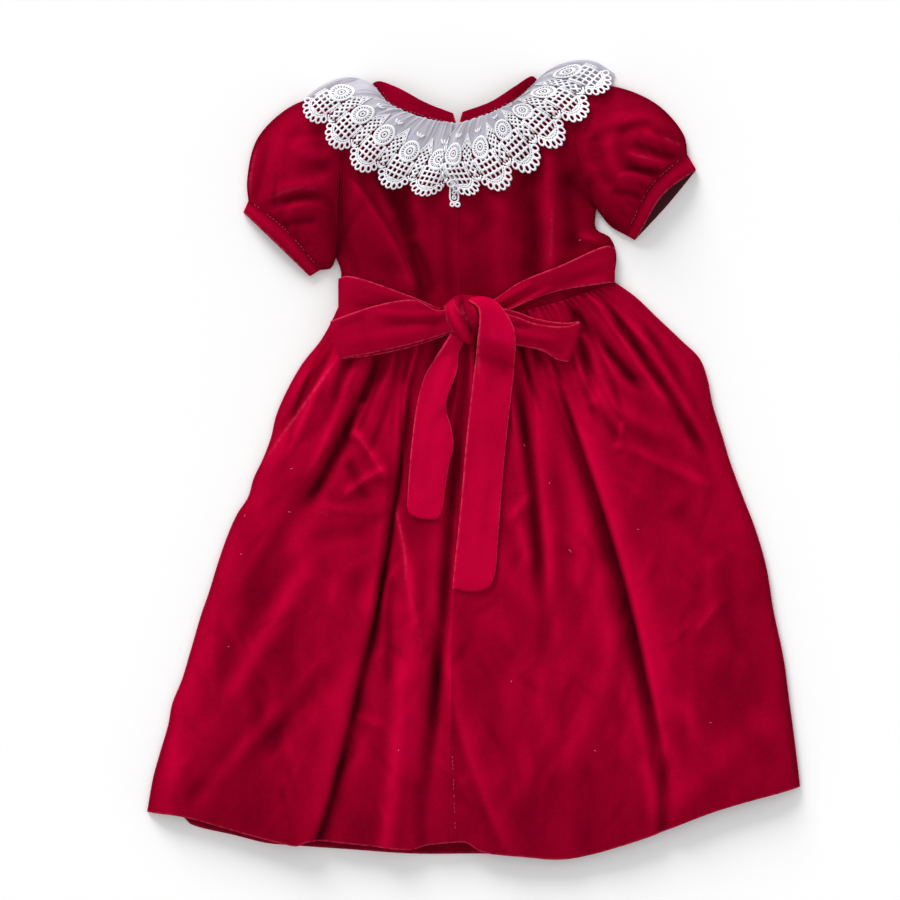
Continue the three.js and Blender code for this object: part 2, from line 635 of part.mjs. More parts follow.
// A loop of the bow lies straight across, as high as the highest thing under its width.
const loops = ["left", "right"].map((side) => {
  const place = plan(bow[side]);
  const width = border(bow[side].top).length;
  const bottom = (u) =>
    Math.max(
      ...steps(6).map((v) => {
        const { x, y } = place(u, v);
        return onSash(x, y);
      }),
    );
  const top = (u) => bottom(u) + 2 * sashCloth + bow.loopOpen * (0.4 + 0.6 * Math.sin(Math.PI * u ** 0.8));
  const options = { thickness: sashCloth, width };
  return add(`bow_loop_${side}`, foldedSheet(place, steps(9), steps(3), bottom, top, options));
});
const knotGround = restOn(dressBack, 6);
const knotRise = (u, v) => sashCloth + bow.knotHigh * (16 * u * (1 - u) * v * (1 - v)) ** 0.45;
const knotPlace = plan(bow.knot);
const knotGrid = (height) =>
  steps(8).map((v) =>
    steps(8).map((u) => {
      const { x, y } = knotPlace(u, v);
      return { x, y, z: height(u, v, x, y) };
    }),
  );
const knotUpper = knotGrid((u, v, x, y) => knotGround(x, y) + knotRise(u, v));
const knotLower = knotGrid((u, v, x, y) => knotGround(x, y));
const knot = add("bow_knot", wall(knotUpper, knotLower));
const onBow = restOn([...dressBack, ...sashBands, ...loops, knot], 8);
add("sash_tail_left", lyingStrip(bow.leftTail, 4, 12, restOn(skirtBacks, 12)));
add("sash_tail_right", lyingStrip(bow.rightTail, 4, 22, onBow));

export default dress;
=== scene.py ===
import math

import bmesh
import bpy
import numpy as np
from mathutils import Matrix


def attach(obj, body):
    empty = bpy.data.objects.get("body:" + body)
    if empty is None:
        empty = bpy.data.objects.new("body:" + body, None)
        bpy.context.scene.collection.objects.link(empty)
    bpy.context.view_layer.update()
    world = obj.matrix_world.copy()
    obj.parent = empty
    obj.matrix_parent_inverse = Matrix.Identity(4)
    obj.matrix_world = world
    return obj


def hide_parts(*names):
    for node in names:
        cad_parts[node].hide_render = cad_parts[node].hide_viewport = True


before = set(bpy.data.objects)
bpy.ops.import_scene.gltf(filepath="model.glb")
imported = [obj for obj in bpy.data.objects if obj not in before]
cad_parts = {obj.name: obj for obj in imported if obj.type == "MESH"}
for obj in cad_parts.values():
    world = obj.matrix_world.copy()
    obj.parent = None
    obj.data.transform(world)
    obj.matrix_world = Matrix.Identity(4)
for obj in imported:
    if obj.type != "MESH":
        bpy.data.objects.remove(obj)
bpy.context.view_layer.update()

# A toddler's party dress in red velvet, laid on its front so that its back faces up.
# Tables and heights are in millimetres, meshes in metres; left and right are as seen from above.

mm = 0.001
cell = 1.7  # step of the cloth's grids
random = np.random.default_rng(12)
halves = {"left": "Left", "right": "Right"}

cloth = {"velvet": 1.6, "sash": 2.4, "lace": 1.2, "seam": 0.03, "laid": 0.45}
edgeTop = 2 * cloth["velvet"] + cloth["laid"]  # back and front, one on the other at a side
heights = {"waist": 10, "skirt": 14, "bodice": 13, "edgeRound": 9}

corners = {
    "centreNeck": (-12, 267), "centreWaist": (-9, 111), "centreHem": (-20, -306),
    "leftShoulder": (-107, 287), "leftNeck": (-78, 296), "leftUnderarm": (-110, 161),
    "leftWaist": (-108, 122), "leftHem": (-261, -282), "leftTip": (-139, 285),
    "rightShoulder": (82, 285), "rightNeck": (48, 299), "rightUnderarm": (98, 200),
    "rightWaist": (112, 142), "rightHem": (261, -262), "rightTip": (113, 308),
}

# Borders of the pattern as laid out, by their corners' names and the places where they turn
borders = {
    "leftSkirt": ["leftWaist", (-113, 111), (-122, 95), (-137, 76), (-150, 53), (-158, 34), (-162, 17),
                  (-168, 1), (-176, -16), (-180, -30), (-189, -44), (-197, -62), (-204, -82),
                  (-212, -108), (-217, -122), (-227, -156), (-233, -176), (-241, -196), (-244, -212),
                  (-251, -236), (-256, -254), "leftHem"],
    "rightSkirt": ["rightWaist", (129, 130), (148, 112), (166, 95), (181, 80), (187, 64), (191, 44),
                   (199, 18), (205, -2), (213, -24), (226, -58), (234, -86), (240, -122), (248, -160),
                   (252, -190), (255, -212), (259, -244), "rightHem"],
    "centreSkirt": ["centreWaist", (-15, -90), "centreHem"],
    "leftBackHem": ["leftHem", (-231, -285.5), (-186, -298), (-152, -306.5), (-142, -308), (-135, -304.5),
                    (-98, -307), (-74, -309.5), (-50, -311.5), (-37, -308), "centreHem"],
    "rightBackHem": ["rightHem", (196, -280), (126, -306), (74, -319), (38, -317), (6, -313), (-6, -306),
                     "centreHem"],
    "frontHem": ["leftHem", (-232, -286), (-227, -291.5), (-190, -301), (-166, -307), (-143, -309),
                 (-100, -312), (-49, -315.5), (5, -315.5), (62, -317), (126, -304), (196, -278),
                 "rightHem"],
    "leftWaistSeam": ["leftWaist", (-60, 114), "centreWaist"],
    "rightWaistSeam": ["rightWaist", (60, 124), "centreWaist"],
    "leftArmhole": ["leftShoulder", (-107, 225), "leftUnderarm"],
    "rightArmhole": ["rightShoulder", (81, 255), (88, 222), "rightUnderarm"],
    "leftSideSeam": ["leftUnderarm", (-106, 150), "leftWaist"],
    "rightSideSeam": ["rightUnderarm", (98, 184), (109, 177), (114, 164), "rightWaist"],
    "centreBodice": ["centreNeck", (-12, 190), "centreWaist"],
    "leftShoulderSeam": ["leftShoulder", (-92, 293), "leftNeck"],
    "rightShoulderSeam": ["rightShoulder", (65, 294), "rightNeck"],
    "leftGather": ["leftNeck", (-67, 283), (-38, 271), "centreNeck"],
    "rightGather": ["rightNeck", (35, 287), (10, 274), "centreNeck"],
    "leftBand": [(-81, 300), (-76, 302), (-62, 297), (-38, 284), (-16.2, 275.5)],
    "rightBand": [(51, 303), (47, 306), (34, 298), (14, 285), (-9, 276.5)],
    "leftBandFoot": ["leftNeck", (-67, 283), (-38, 271), (-13.2, 265)],
    "rightBandFoot": ["rightNeck", (35, 287), (10, 274), (-12, 266)],
    "frontGather": ["leftNeck", (-66, 272), (-44, 252), (-15, 244), (14, 252), (36, 273), "rightNeck"],
    "frontBand": [(-72, 300), (-58, 277), (-39, 260), (-15, 253), (9, 260), (28, 278), (42, 303)],
    "leftCollarFold": ["leftNeck", (-88, 303), (-104, 305), (-124, 297), "leftTip"],
    "rightCollarFold": ["rightNeck", (60, 311), (77, 318), (96, 318), "rightTip"],
    "leftCollarEdge": ["leftTip", (-112, 253), (-88, 231), (-62, 217), (-26, 210)],
    "rightCollarEdge": ["rightTip", (100, 292), (62, 249), (38, 228), (14, 215), (-20, 213)],
    "leftCollarCentre": ["centreNeck", (-15, 240), (-26, 210)],
    "rightCollarCentre": ["centreNeck", (-22, 252), (-28, 234), (-20, 213)],
    "frontCollarEdge": ["leftTip", (-122, 240), (-78, 201), (-15, 188), (50, 205), (96, 250), "rightTip"],
}


# Eases from 0 at low to 1 at high: three times the square less twice the cube
def smooth(value, low, high):
    t = np.clip((value - low) / (high - low), 0, 1)
    return t * t * (3 - 2 * t)


# The value that lies a share t of the way from a to b
def mix(a, b, t):
    return a + (b - a) * t


# A border's points, from its name or from a table that may name corners
def pointsOf(table):
    table = borders[table] if isinstance(table, str) else table
    return [corners[point] if isinstance(point, str) else point for point in table]


# Centripetal Catmull-Rom splines through borders, end to end, as dense points with the share of the
# whole length at which each lies. Each spline's ends run on straight.
def border(*tables):
    places = []
    for table in tables:
        p = np.array(pointsOf(table), float)
        p = np.vstack([2 * p[0] - p[1], p, 2 * p[-1] - p[-2]])
        a, b, c, d = (p[k:len(p) - 3 + k, None] for k in range(4))
        pairs = (a, b), (b, c), (c, d)
        ab, bc, cd = (np.sqrt(np.linalg.norm(z - y, axis=-1, keepdims=True)) for y, z in pairs)
        startSlope = ((b - a) / ab - (c - a) / (ab + bc) + (c - b) / bc) * bc
        endSlope = ((c - b) / bc - (d - b) / (bc + cd) + (d - c) / cd) * bc
        t = np.linspace(0, 1, 25)[None, :, None]
        curve = b + startSlope * t + (3 * (c - b) - 2 * startSlope - endSlope) * t**2
        curve = curve + (2 * (b - c) + startSlope + endSlope) * t**3
        places.append(curve.reshape(-1, 2))
    xy = np.vstack(places)
    run = np.r_[0, np.cumsum(np.linalg.norm(np.diff(xy, axis=0), axis=1))]
    return {"xy": xy, "run": run / run[-1], "length": run[-1]}


# The points of a border at shares t of its length
def along(edge, t):
    return np.stack([np.interp(t, edge["run"], edge["xy"][:, k]) for k in range(2)], -1)


# Fills four borders: u goes from the side one to the centre one, v from the top one to the bottom one.
# A point is the mix of the two sides plus the mix of top and bottom less the mix of the four corners.
def plan(*edges):
    side, centre, top, bottom = (edge if isinstance(edge, dict) else border(edge) for edge in edges)
    spareU = cloth["seam"] / 2 / min(top["length"], bottom["length"])
    spareV = cloth["seam"] / 2 / min(side["length"], centre["length"])

    def place(u, v):
        u = mix(spareU, 1 - spareU, np.asarray(u, float))
        v = mix(spareV, 1 - spareV, np.asarray(v, float))
        uu, vv = u[..., None], v[..., None]
        ends = [along(side, 0), along(centre, 0), along(side, 1), along(centre, 1)]
        flat = mix(mix(ends[0], ends[1], uu), mix(ends[2], ends[3], uu), vv)
        return mix(along(side, v), along(centre, v), uu) + mix(along(top, u), along(bottom, u), vv) - flat

    return place


# The same between two borders whose ends are joined by straight lines
def planBetween(top, bottom):
    top, bottom = pointsOf(top), pointsOf(bottom)
    return plan([top[0], bottom[0]], [top[-1], bottom[-1]], top, bottom)


# The points of a plan, and their x and y
def laidOut(place, u, v):
    xy = place(u, v)
    return xy, xy[..., 0], xy[..., 1]


# Steps from 0 to 1 over a length, a cell each, and finer close to both edges
def spaced(length, size=cell):
    edge = np.array([0, 0.5, 1.1, 2]) / length
    inner = np.linspace(edge[-1], 1 - edge[-1], max(3, round(length / size)))[1:-1]
    return np.r_[edge, inner, 1 - edge[::-1]]


# How far an edge turns down close to it: a quarter circle
def lip(distance, deep=1.1, wide=2.0):
    return deep * (1 - np.sqrt(1 - np.clip(1 - distance / wide, 0, 1) ** 2))


# How much painted sheen an edge takes at a distance from it: a bell 0.75 mm wide
def edgeSheen(distance):
    return np.exp(-((distance / 0.75) ** 2))


# Running mean over a square window of grid steps
def blurred(values, reach):
    for axis in (0, 1):
        pad = [(0, 0), (0, 0)]
        pad[axis] = (reach + 1, reach)
        total = np.cumsum(np.pad(values, pad, mode="edge"), axis)
        last = total.shape[axis]
        ahead = np.take(total, range(2 * reach + 1, last), axis)
        values = (ahead - np.take(total, range(last - 2 * reach - 1), axis)) / (2 * reach + 1)
    return values


# Painted shade and highlight from the cloth's height: a share of tone that is lighter on ridges and darker in
# troughs, small and wide ones
def foldShadeTone(z, near=3, wide=10, gain=1.0):
    small, large = z - blurred(z, near), z - blurred(z, wide)
    return 0.5 + 0.5 * np.tanh(gain * (0.17 * small + 0.11 * large))


# Where points lie beside a line from x0, y0 to x1, y1 that is bent aside by bow: the share of its run,
# the distance aside, the direction aside and the line's length
def beside(x0, y0, x1, y1, bow, x, y):
    dx, dy = x1 - x0, y1 - y0
    length = math.hypot(dx, dy)
    run = ((x - x0) * dx + (y - y0) * dy) / length**2
    aside = (-(x - x0) * dy + (y - y0) * dx) / length - bow * 4 * run * (1 - run)
    return run, aside, np.array([-dy, dx]), length


# Painted highlight lines along sharp creases: x0, y0, x1, y1, bow, strength
def creaseHighlights(rows, x, y, wide=0.95):
    line = np.zeros_like(x)
    for *ends, strength in rows:
        run, aside, _, _ = beside(*ends, x, y)
        fade = smooth(run, 0, 0.3) * (1 - smooth(run, 0.7, 1))
        line += 0.7 * strength * fade * np.exp(-((aside / wide) ** 2))
    return np.clip(line, 0, 1)


# Ridges and troughs of cloth, each from x0, y0 to x1, y1, bent aside by bow. Its height falls off as a
# bell over west and east of it and dies out at its ends. Lean carries the ridge over to its east side.
def creased(rows, x, y):
    rise, lean = np.zeros_like(x), np.zeros(x.shape + (2,))
    for x0, y0, x1, y1, bow, west, east, high, over, *ends in rows:
        taper = ends[0] if ends else 0.22
        run, aside, across, length = beside(x0, y0, x1, y1, bow, x, y)
        ends = smooth(run, 0, taper) * (1 - smooth(run, 1 - taper, 1))
        rise += high * ends * np.exp(-((aside / np.where(aside < 0, west, east)) ** 2))
        if over:
            shift = over * ends * np.exp(-((aside / (2.2 * min(west, east))) ** 2))
            lean += shift[..., None] * across / length
    return rise, lean


# Small creases that run with the cloth from v = start, some up and some down
def flowCreases(place, count, start, reach, width, high, turn=0.0, spread=(0.0, 1.0), taper=0.5):
    rows = []
    for k in range(count):
        u = mix(*spread, (k + random.uniform(0.1, 0.9)) / count)
        v = random.uniform(*start)
        x0, y0 = place(u, v)
        x1, y1 = place(u + random.uniform(-0.02, 0.02), v + random.uniform(*reach))
        angle = random.uniform(-turn, turn)
        dx, dy = x1 - x0, y1 - y0
        x1 = x0 + dx * math.cos(angle) - dy * math.sin(angle)
        y1 = y0 + dx * math.sin(angle) + dy * math.cos(angle)
        west, east = random.uniform(*width, 2)
        bend = random.uniform(-0.09, 0.09) * math.hypot(dx, dy)
        rise = random.uniform(*high) * random.choice([-1, 1])
        rows.append((x0, y0, x1, y1, bend, west, east, rise, 0, taper))
    return rows


# Small creases of both halves of a back panel. Both halves take all of them, so that they meet
def halfCreases(kinds, side, centre, top, bottom):
    rows = []
    for half in halves:
        place = plan(half + side, centre, half + top, half + bottom)
        for kind in kinds:
            rows += flowCreases(place, **kind)
    return rows


# A map of the highest cloth so far, in cells that count from its corner at x, y
ground = {"cell": 2.0, "x": -300.0, "y": -345.0, "z": np.zeros((346, 301))}


def cellsOf(x, y):
    return (y - ground["y"]) / ground["cell"], (x - ground["x"]) / ground["cell"]


# Raises the map to the cloth of a grid, where that lies higher
def layDown(grid):
    row, column = (np.rint(k).astype(int) for k in cellsOf(grid[..., 0], grid[..., 1]))
    np.maximum.at(ground["z"], (row, column), grid[..., 2])


# How high more cloth lies: over the highest thing within reach, softened by a running mean, and mixed
# from the four cells round a place
def underlay(reach, soften=2):
    steps = int(reach / ground["cell"])
    wide = ground["z"].copy()
    for down in range(-steps, steps + 1):
        for over in range(-steps, steps + 1):
            if down * down + over * over <= steps * steps:
                wide = np.maximum(wide, np.roll(ground["z"], (down, over), (0, 1)))
    wide = blurred(wide, soften)

    def height(x, y):
        row, column = cellsOf(x, y)
        r, c = np.floor(row).astype(int), np.floor(column).astype(int)
        fr, fc = row - r, column - c
        low, high = mix(wide[r, c], wide[r, c + 1], fc), mix(wide[r + 1, c], wide[r + 1, c + 1], fc)
        return mix(low, high, fr) + cloth["laid"]

    return height


# Materials: nodes by their kind, joined where they are made
def shaderOf(name):
    material = bpy.data.materials.new(name)
    material.use_nodes = True
    tree = material.node_tree
    tree.nodes.clear()
    output = tree.nodes.new("ShaderNodeOutputMaterial")
    shader = tree.nodes.new("ShaderNodeBsdfPrincipled")
    tree.links.new(shader.outputs[0], output.inputs[0])
    return material, tree, shader


def add(tree, kind, settings=None, **inputs):
    node = tree.nodes.new("ShaderNode" + kind)
    for key, value in (settings or {}).items():
        setattr(node, key, value)
    for key, value in inputs.items():
        socket = node.inputs[int(key[1:])] if key[0] == "_" else node.inputs[key]
        if isinstance(value, bpy.types.NodeSocket):
            tree.links.new(value, socket)
        else:
            socket.default_value = value
    return node.outputs[0]


def noise(tree, scale, detail=2.0, stretch=(1, 1, 1), rough=0.5):
    place = tree.nodes.new("ShaderNodeTexCoord").outputs["Object"]
    mapped = add(tree, "Mapping", Vector=place, Scale=stretch)
    return add(tree, "TexNoise", Vector=mapped, Scale=scale, Detail=detail, Roughness=rough)


def calc(tree, operation, a, b, clamp=False):
    return add(tree, "Math", {"operation": operation, "use_clamp": clamp}, _0=a, _1=b)


def attribute(tree, label):
    node = tree.nodes.new("ShaderNodeAttribute")
    node.attribute_name = label
    return node.outputs["Fac"]


def blend(tree, factor, a, b):
    node = tree.nodes.new("ShaderNodeMix")
    node.data_type = "RGBA"
    for socket, value in ((node.inputs[0], factor), (node.inputs[6], a), (node.inputs[7], b)):
        if isinstance(value, bpy.types.NodeSocket):
            tree.links.new(value, socket)
        else:
            socket.default_value = value
    return node.outputs[2]


# Pile patterns and bumps, the pink of the painted sheen lines at edges and creases, and the shader's sheen
# tint
pile = {
    "brushed": 17, "streaks": 60, "mottle": 420, "mottleShare": 0.16, "wear": 260,
    "fine": 1300, "fineDeep": 0.00022, "soft": 70, "softDeep": 0.0011,
    "backing": (0.80, 0.055, 0.13, 1), "sheen": (1.0, 0.004, 0.075, 1),
}


# Pile cloth: its colour goes from a painted shade colour in the troughs to a painted highlight colour on the
# ridges by the tone attribute, in soft patches where the pile was brushed either way;
# edges and sharp creases get a broken pink line of painted sheen by the edge attribute
def velvetCloth(name, deep, middle, light, patch):
    material, tree, shader = shaderOf(name)
    tone, edge = (attribute(tree, label) for label in ("tone", "edge"))

    # A pattern's swing either side of its mean, times a share
    def swing(scale, stretch, share):
        return calc(tree, "MULTIPLY", calc(tree, "SUBTRACT", noise(tree, scale, 3, stretch), 0.5), share)

    brushed = swing(pile["brushed"], (1, 0.4, 1), patch)
    streaks = swing(pile["streaks"], (1, 0.5, 1), patch * 0.6)
    mottle = swing(pile["mottle"], (1, 1, 1), pile["mottleShare"])
    patches = calc(tree, "ADD", calc(tree, "ADD", brushed, streaks), mottle)
    share = calc(tree, "ADD", tone, patches, True)
    ramp = tree.nodes.new("ShaderNodeValToRGB")
    ramp.color_ramp.elements.new(0.5)
    for stop, colour in zip(ramp.color_ramp.elements, (deep, middle, light)):
        stop.color = (*colour, 1)
    tree.links.new(share, ramp.inputs[0])
    smoothed = {"interpolation_type": "SMOOTHSTEP"}
    # Painted sheen: a broken pink line along edges and sharp creases, by the edge attribute
    uneven = add(tree, "MapRange", smoothed, Value=noise(tree, pile["wear"], 2), _1=0.30, _2=0.62)
    sheenLine = calc(tree, "MULTIPLY", edge, calc(tree, "ADD", calc(tree, "MULTIPLY", uneven, 0.55), 0.1))
    colour = blend(tree, sheenLine, ramp.outputs[0], pile["backing"])
    tree.links.new(colour, shader.inputs["Base Color"])
    nap = noise(tree, pile["fine"], 2)
    fine = add(tree, "Bump", Strength=0.4, Distance=pile["fineDeep"], Height=nap)
    hollows = noise(tree, pile["soft"], 3)
    soft = add(tree, "Bump", Strength=0.5, Distance=pile["softDeep"], Height=hollows, Normal=fine)
    tree.links.new(soft, shader.inputs["Normal"])
    shader.inputs["Roughness"].default_value = 0.9
    shader.inputs["Specular IOR Level"].default_value = 0.0
    shader.inputs["Sheen Weight"].default_value = 0.4
    shader.inputs["Sheen Roughness"].default_value = 0.4
    shader.inputs["Sheen Tint"].default_value = pile["sheen"]
    return material


# Cloth without pile: two shades in a fine pattern, and for thin cloth painted shade in the troughs of its
# folds and painted highlight on their ridges by the tone attribute
def plainCloth(name, colour, dark, scale, bump, roughness, alpha=1.0, toned=False):
    material, tree, shader = shaderOf(name)
    share = noise(tree, scale, 3)
    if toned:
        share = calc(tree, "ADD", attribute(tree, "tone"), calc(tree, "MULTIPLY", share, 0.3), True)
    shade = blend(tree, share, (*dark, 1), (*colour, 1))
    tree.links.new(shade, shader.inputs["Base Color"])
    relief = add(tree, "Bump", Strength=0.5, Distance=bump, Height=noise(tree, scale * 4, 2))
    tree.links.new(relief, shader.inputs["Normal"])
    shader.inputs["Roughness"].default_value = roughness
    shader.inputs["Alpha"].default_value = alpha
    return material


# Colours of the troughs (painted shade), of level cloth and of the ridges (painted highlight), and how strong
# the brushed patches are. Each part has its own lighter or darker copy of the velvet as painted light and
# shade, the bodice darkest and the sash lightest
velvets = {
    "skirt": ((0.022, 0.0001, 0.003), (0.285, 0.0003, 0.017), (0.60, 0.0006, 0.042), 0.45),
    "bodice": ((0.012, 0.0001, 0.002), (0.175, 0.0002, 0.010), (0.42, 0.0004, 0.026), 0.45),
    "sleeve": ((0.018, 0.0001, 0.003), (0.215, 0.0003, 0.013), (0.50, 0.0005, 0.034), 0.3),
    "loop": ((0.04, 0.0002, 0.004), (0.29, 0.0004, 0.018), (0.55, 0.0008, 0.038), 0.2),
    "sash": ((0.06, 0.0003, 0.006), (0.44, 0.0005, 0.029), (0.68, 0.001, 0.050), 0.25),
}
# Name, light and dark shade, scale of the pattern, depth of the weave, roughness; then opacity and tone
plainCloths = {
    # The inside face of the walls, the cloth's lining, made near black as painted shade inside the openings
    "shadedLining": ("velvetLiningInShade", (0.07, 0.0004, 0.006), (0.035, 0.0002, 0.003), 500, 0.0002, 0.9),
    "lace": ("guipureThread", (0.92, 0.92, 0.95), (0.80, 0.80, 0.86), 900, 0.0002, 0.75),
    "organza": ("organza", (0.72, 0.70, 0.78), (0.29, 0.27, 0.34), 160, 0.0001, 0.5, 0.86, True),
    "thread": ("topstitching", (0.50, 0.022, 0.06), (0.38, 0.01, 0.03), 700, 0.0001, 0.5),
    "lint": ("lint", (0.72, 0.2, 0.27), (0.6, 0.12, 0.2), 700, 0.0001, 0.7),
}
materials = {name: velvetCloth(name + "Velvet", *look) for name, look in velvets.items()}
materials.update({finish: plainCloth(*look) for finish, look in plainCloths.items()})


# A mesh from a grid of points, turned so that its faces point up, or outwards where it goes around
def gridMesh(name, grid, around=False, tone=None, edge=None):
    rows, columns = grid.shape[:2]
    index = np.arange(rows * columns).reshape(rows, columns)
    if around:
        index = np.hstack([index, index[:, :1]])
    quads = np.stack([index[:-1, :-1], index[1:, :-1], index[1:, 1:], index[:-1, 1:]], -1).reshape(-1, 4)
    points = grid.reshape(-1, 3)
    corner = points[quads]
    normal = np.cross(corner[:, 2] - corner[:, 0], corner[:, 3] - corner[:, 1])
    away = corner.mean(1) - points.mean(0) if around else np.array([[0, 0, 1]])
    if (normal * away).sum() < 0:
        quads = quads[:, ::-1]
    mesh = bpy.data.meshes.new(name)
    mesh.from_pydata((points * mm).tolist(), [], quads.tolist())
    for label, values, usual in (("tone", tone, 0.5), ("edge", edge, 0.0)):
        layer = mesh.attributes.new(label, "FLOAT", "POINT")
        values = np.full(len(points), usual) if values is None else np.broadcast_to(values, (rows, columns))
        values = np.clip(values, 0, 1)
        layer.data.foreach_set("value", np.ascontiguousarray(values, np.float32).ravel())
    mesh.shade_smooth()
    return mesh


# Makes a piece of the dress from its mesh; a thickness gives it a wall that goes inwards
def piece(name, mesh, finish, node=None, thickness=0, inside=None):
    made = bpy.data.objects.new(name, mesh)
    bpy.context.scene.collection.objects.link(made)
    mesh.materials.append(materials[finish])
    if thickness:
        wall = made.modifiers.new("wall", "SOLIDIFY")
        wall.thickness, wall.offset = thickness * mm, -1
        if inside:
            mesh.materials.append(materials[inside])
            wall.material_offset = 1
    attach(made, "root")
    if node:
        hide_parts(node)


# Joins the points that meet where two layers close up, and turns all faces outwards
def weldDoubles(mesh):
    weld = bmesh.new()
    weld.from_mesh(mesh)
    bmesh.ops.remove_doubles(weld, verts=weld.verts, dist=2e-6)
    bmesh.ops.recalc_face_normals(weld, faces=weld.faces)
    weld.to_mesh(mesh)
    weld.free()
    mesh.shade_smooth()


# An upper layer's grid and the lower one's beside it, so that one grid goes over and back under
def overUnder(upper, lower):
    return np.concatenate([upper, lower[:, -2:0:-1]], 1)


# Two layers sewn together round their edges: the middle surface moved out along its normal to both
# sides by half the thickness, times a superellipse that falls to nothing at every edge
def doubled(name, middle, thickness, across, down, lines=0.0, brushed=0.04):
    normal = np.cross(np.gradient(middle, axis=1), np.gradient(middle, axis=0))
    normal /= np.linalg.norm(normal, axis=-1, keepdims=True) + 1e-9
    roundU = np.clip(1 - np.abs(2 * across - 1) ** 14, 0, 1) ** 0.5
    roundV = np.clip(1 - np.abs(2 * down - 1) ** 60, 0, 1) ** 0.5
    out = thickness / 2 * roundU[None, :] * roundV[:, None]
    upper, lower = middle + normal * out[..., None], middle - normal * out[..., None]
    if upper[..., 2].mean() < lower[..., 2].mean():
        upper, lower = lower, upper
    width = np.linalg.norm(np.diff(middle, axis=1), axis=-1).sum(1)[:, None]
    # Painted sheen along the long edges and on crease lines; painted shade and highlight from the middle's
    # height, lifted by brushed
    sheenLine = edgeSheen(np.minimum(across, 1 - across)[None, :] * width) + lines
    tone = foldShadeTone(middle[..., 2], 2, 7, 0.6) + brushed
    mesh = gridMesh(name, overUnder(upper, lower), True, overUnder(tone, tone), overUnder(sheenLine, sheenLine))
    weldDoubles(mesh)
    return mesh, upper


# Steps from 0 to 1 that close up at both ends, by half a cosine
def closing(count):
    return 0.5 - 0.5 * np.cos(np.linspace(0, math.pi, count + 1))


# The front of the collar lies under the bodice and the sleeves, and lifts them
def lift(x, y):
    reach = np.hypot((x + 14) / 129, (y - 300) / 117)
    return (cloth["lace"] + cloth["seam"]) * (1 - smooth(reach, 1.16, 1.36))


# How cloth rises away from a sewn edge: all but an exponential of the distance
def swell(distance):
    return 1 - np.exp(-distance / heights["edgeRound"])


# How far an open end gapes along its width: a flat-topped arch from 0 to 0
def openAlong(t):
    return 1 - np.abs(2 * np.clip(t, 0, 1) - 1) ** 2.4


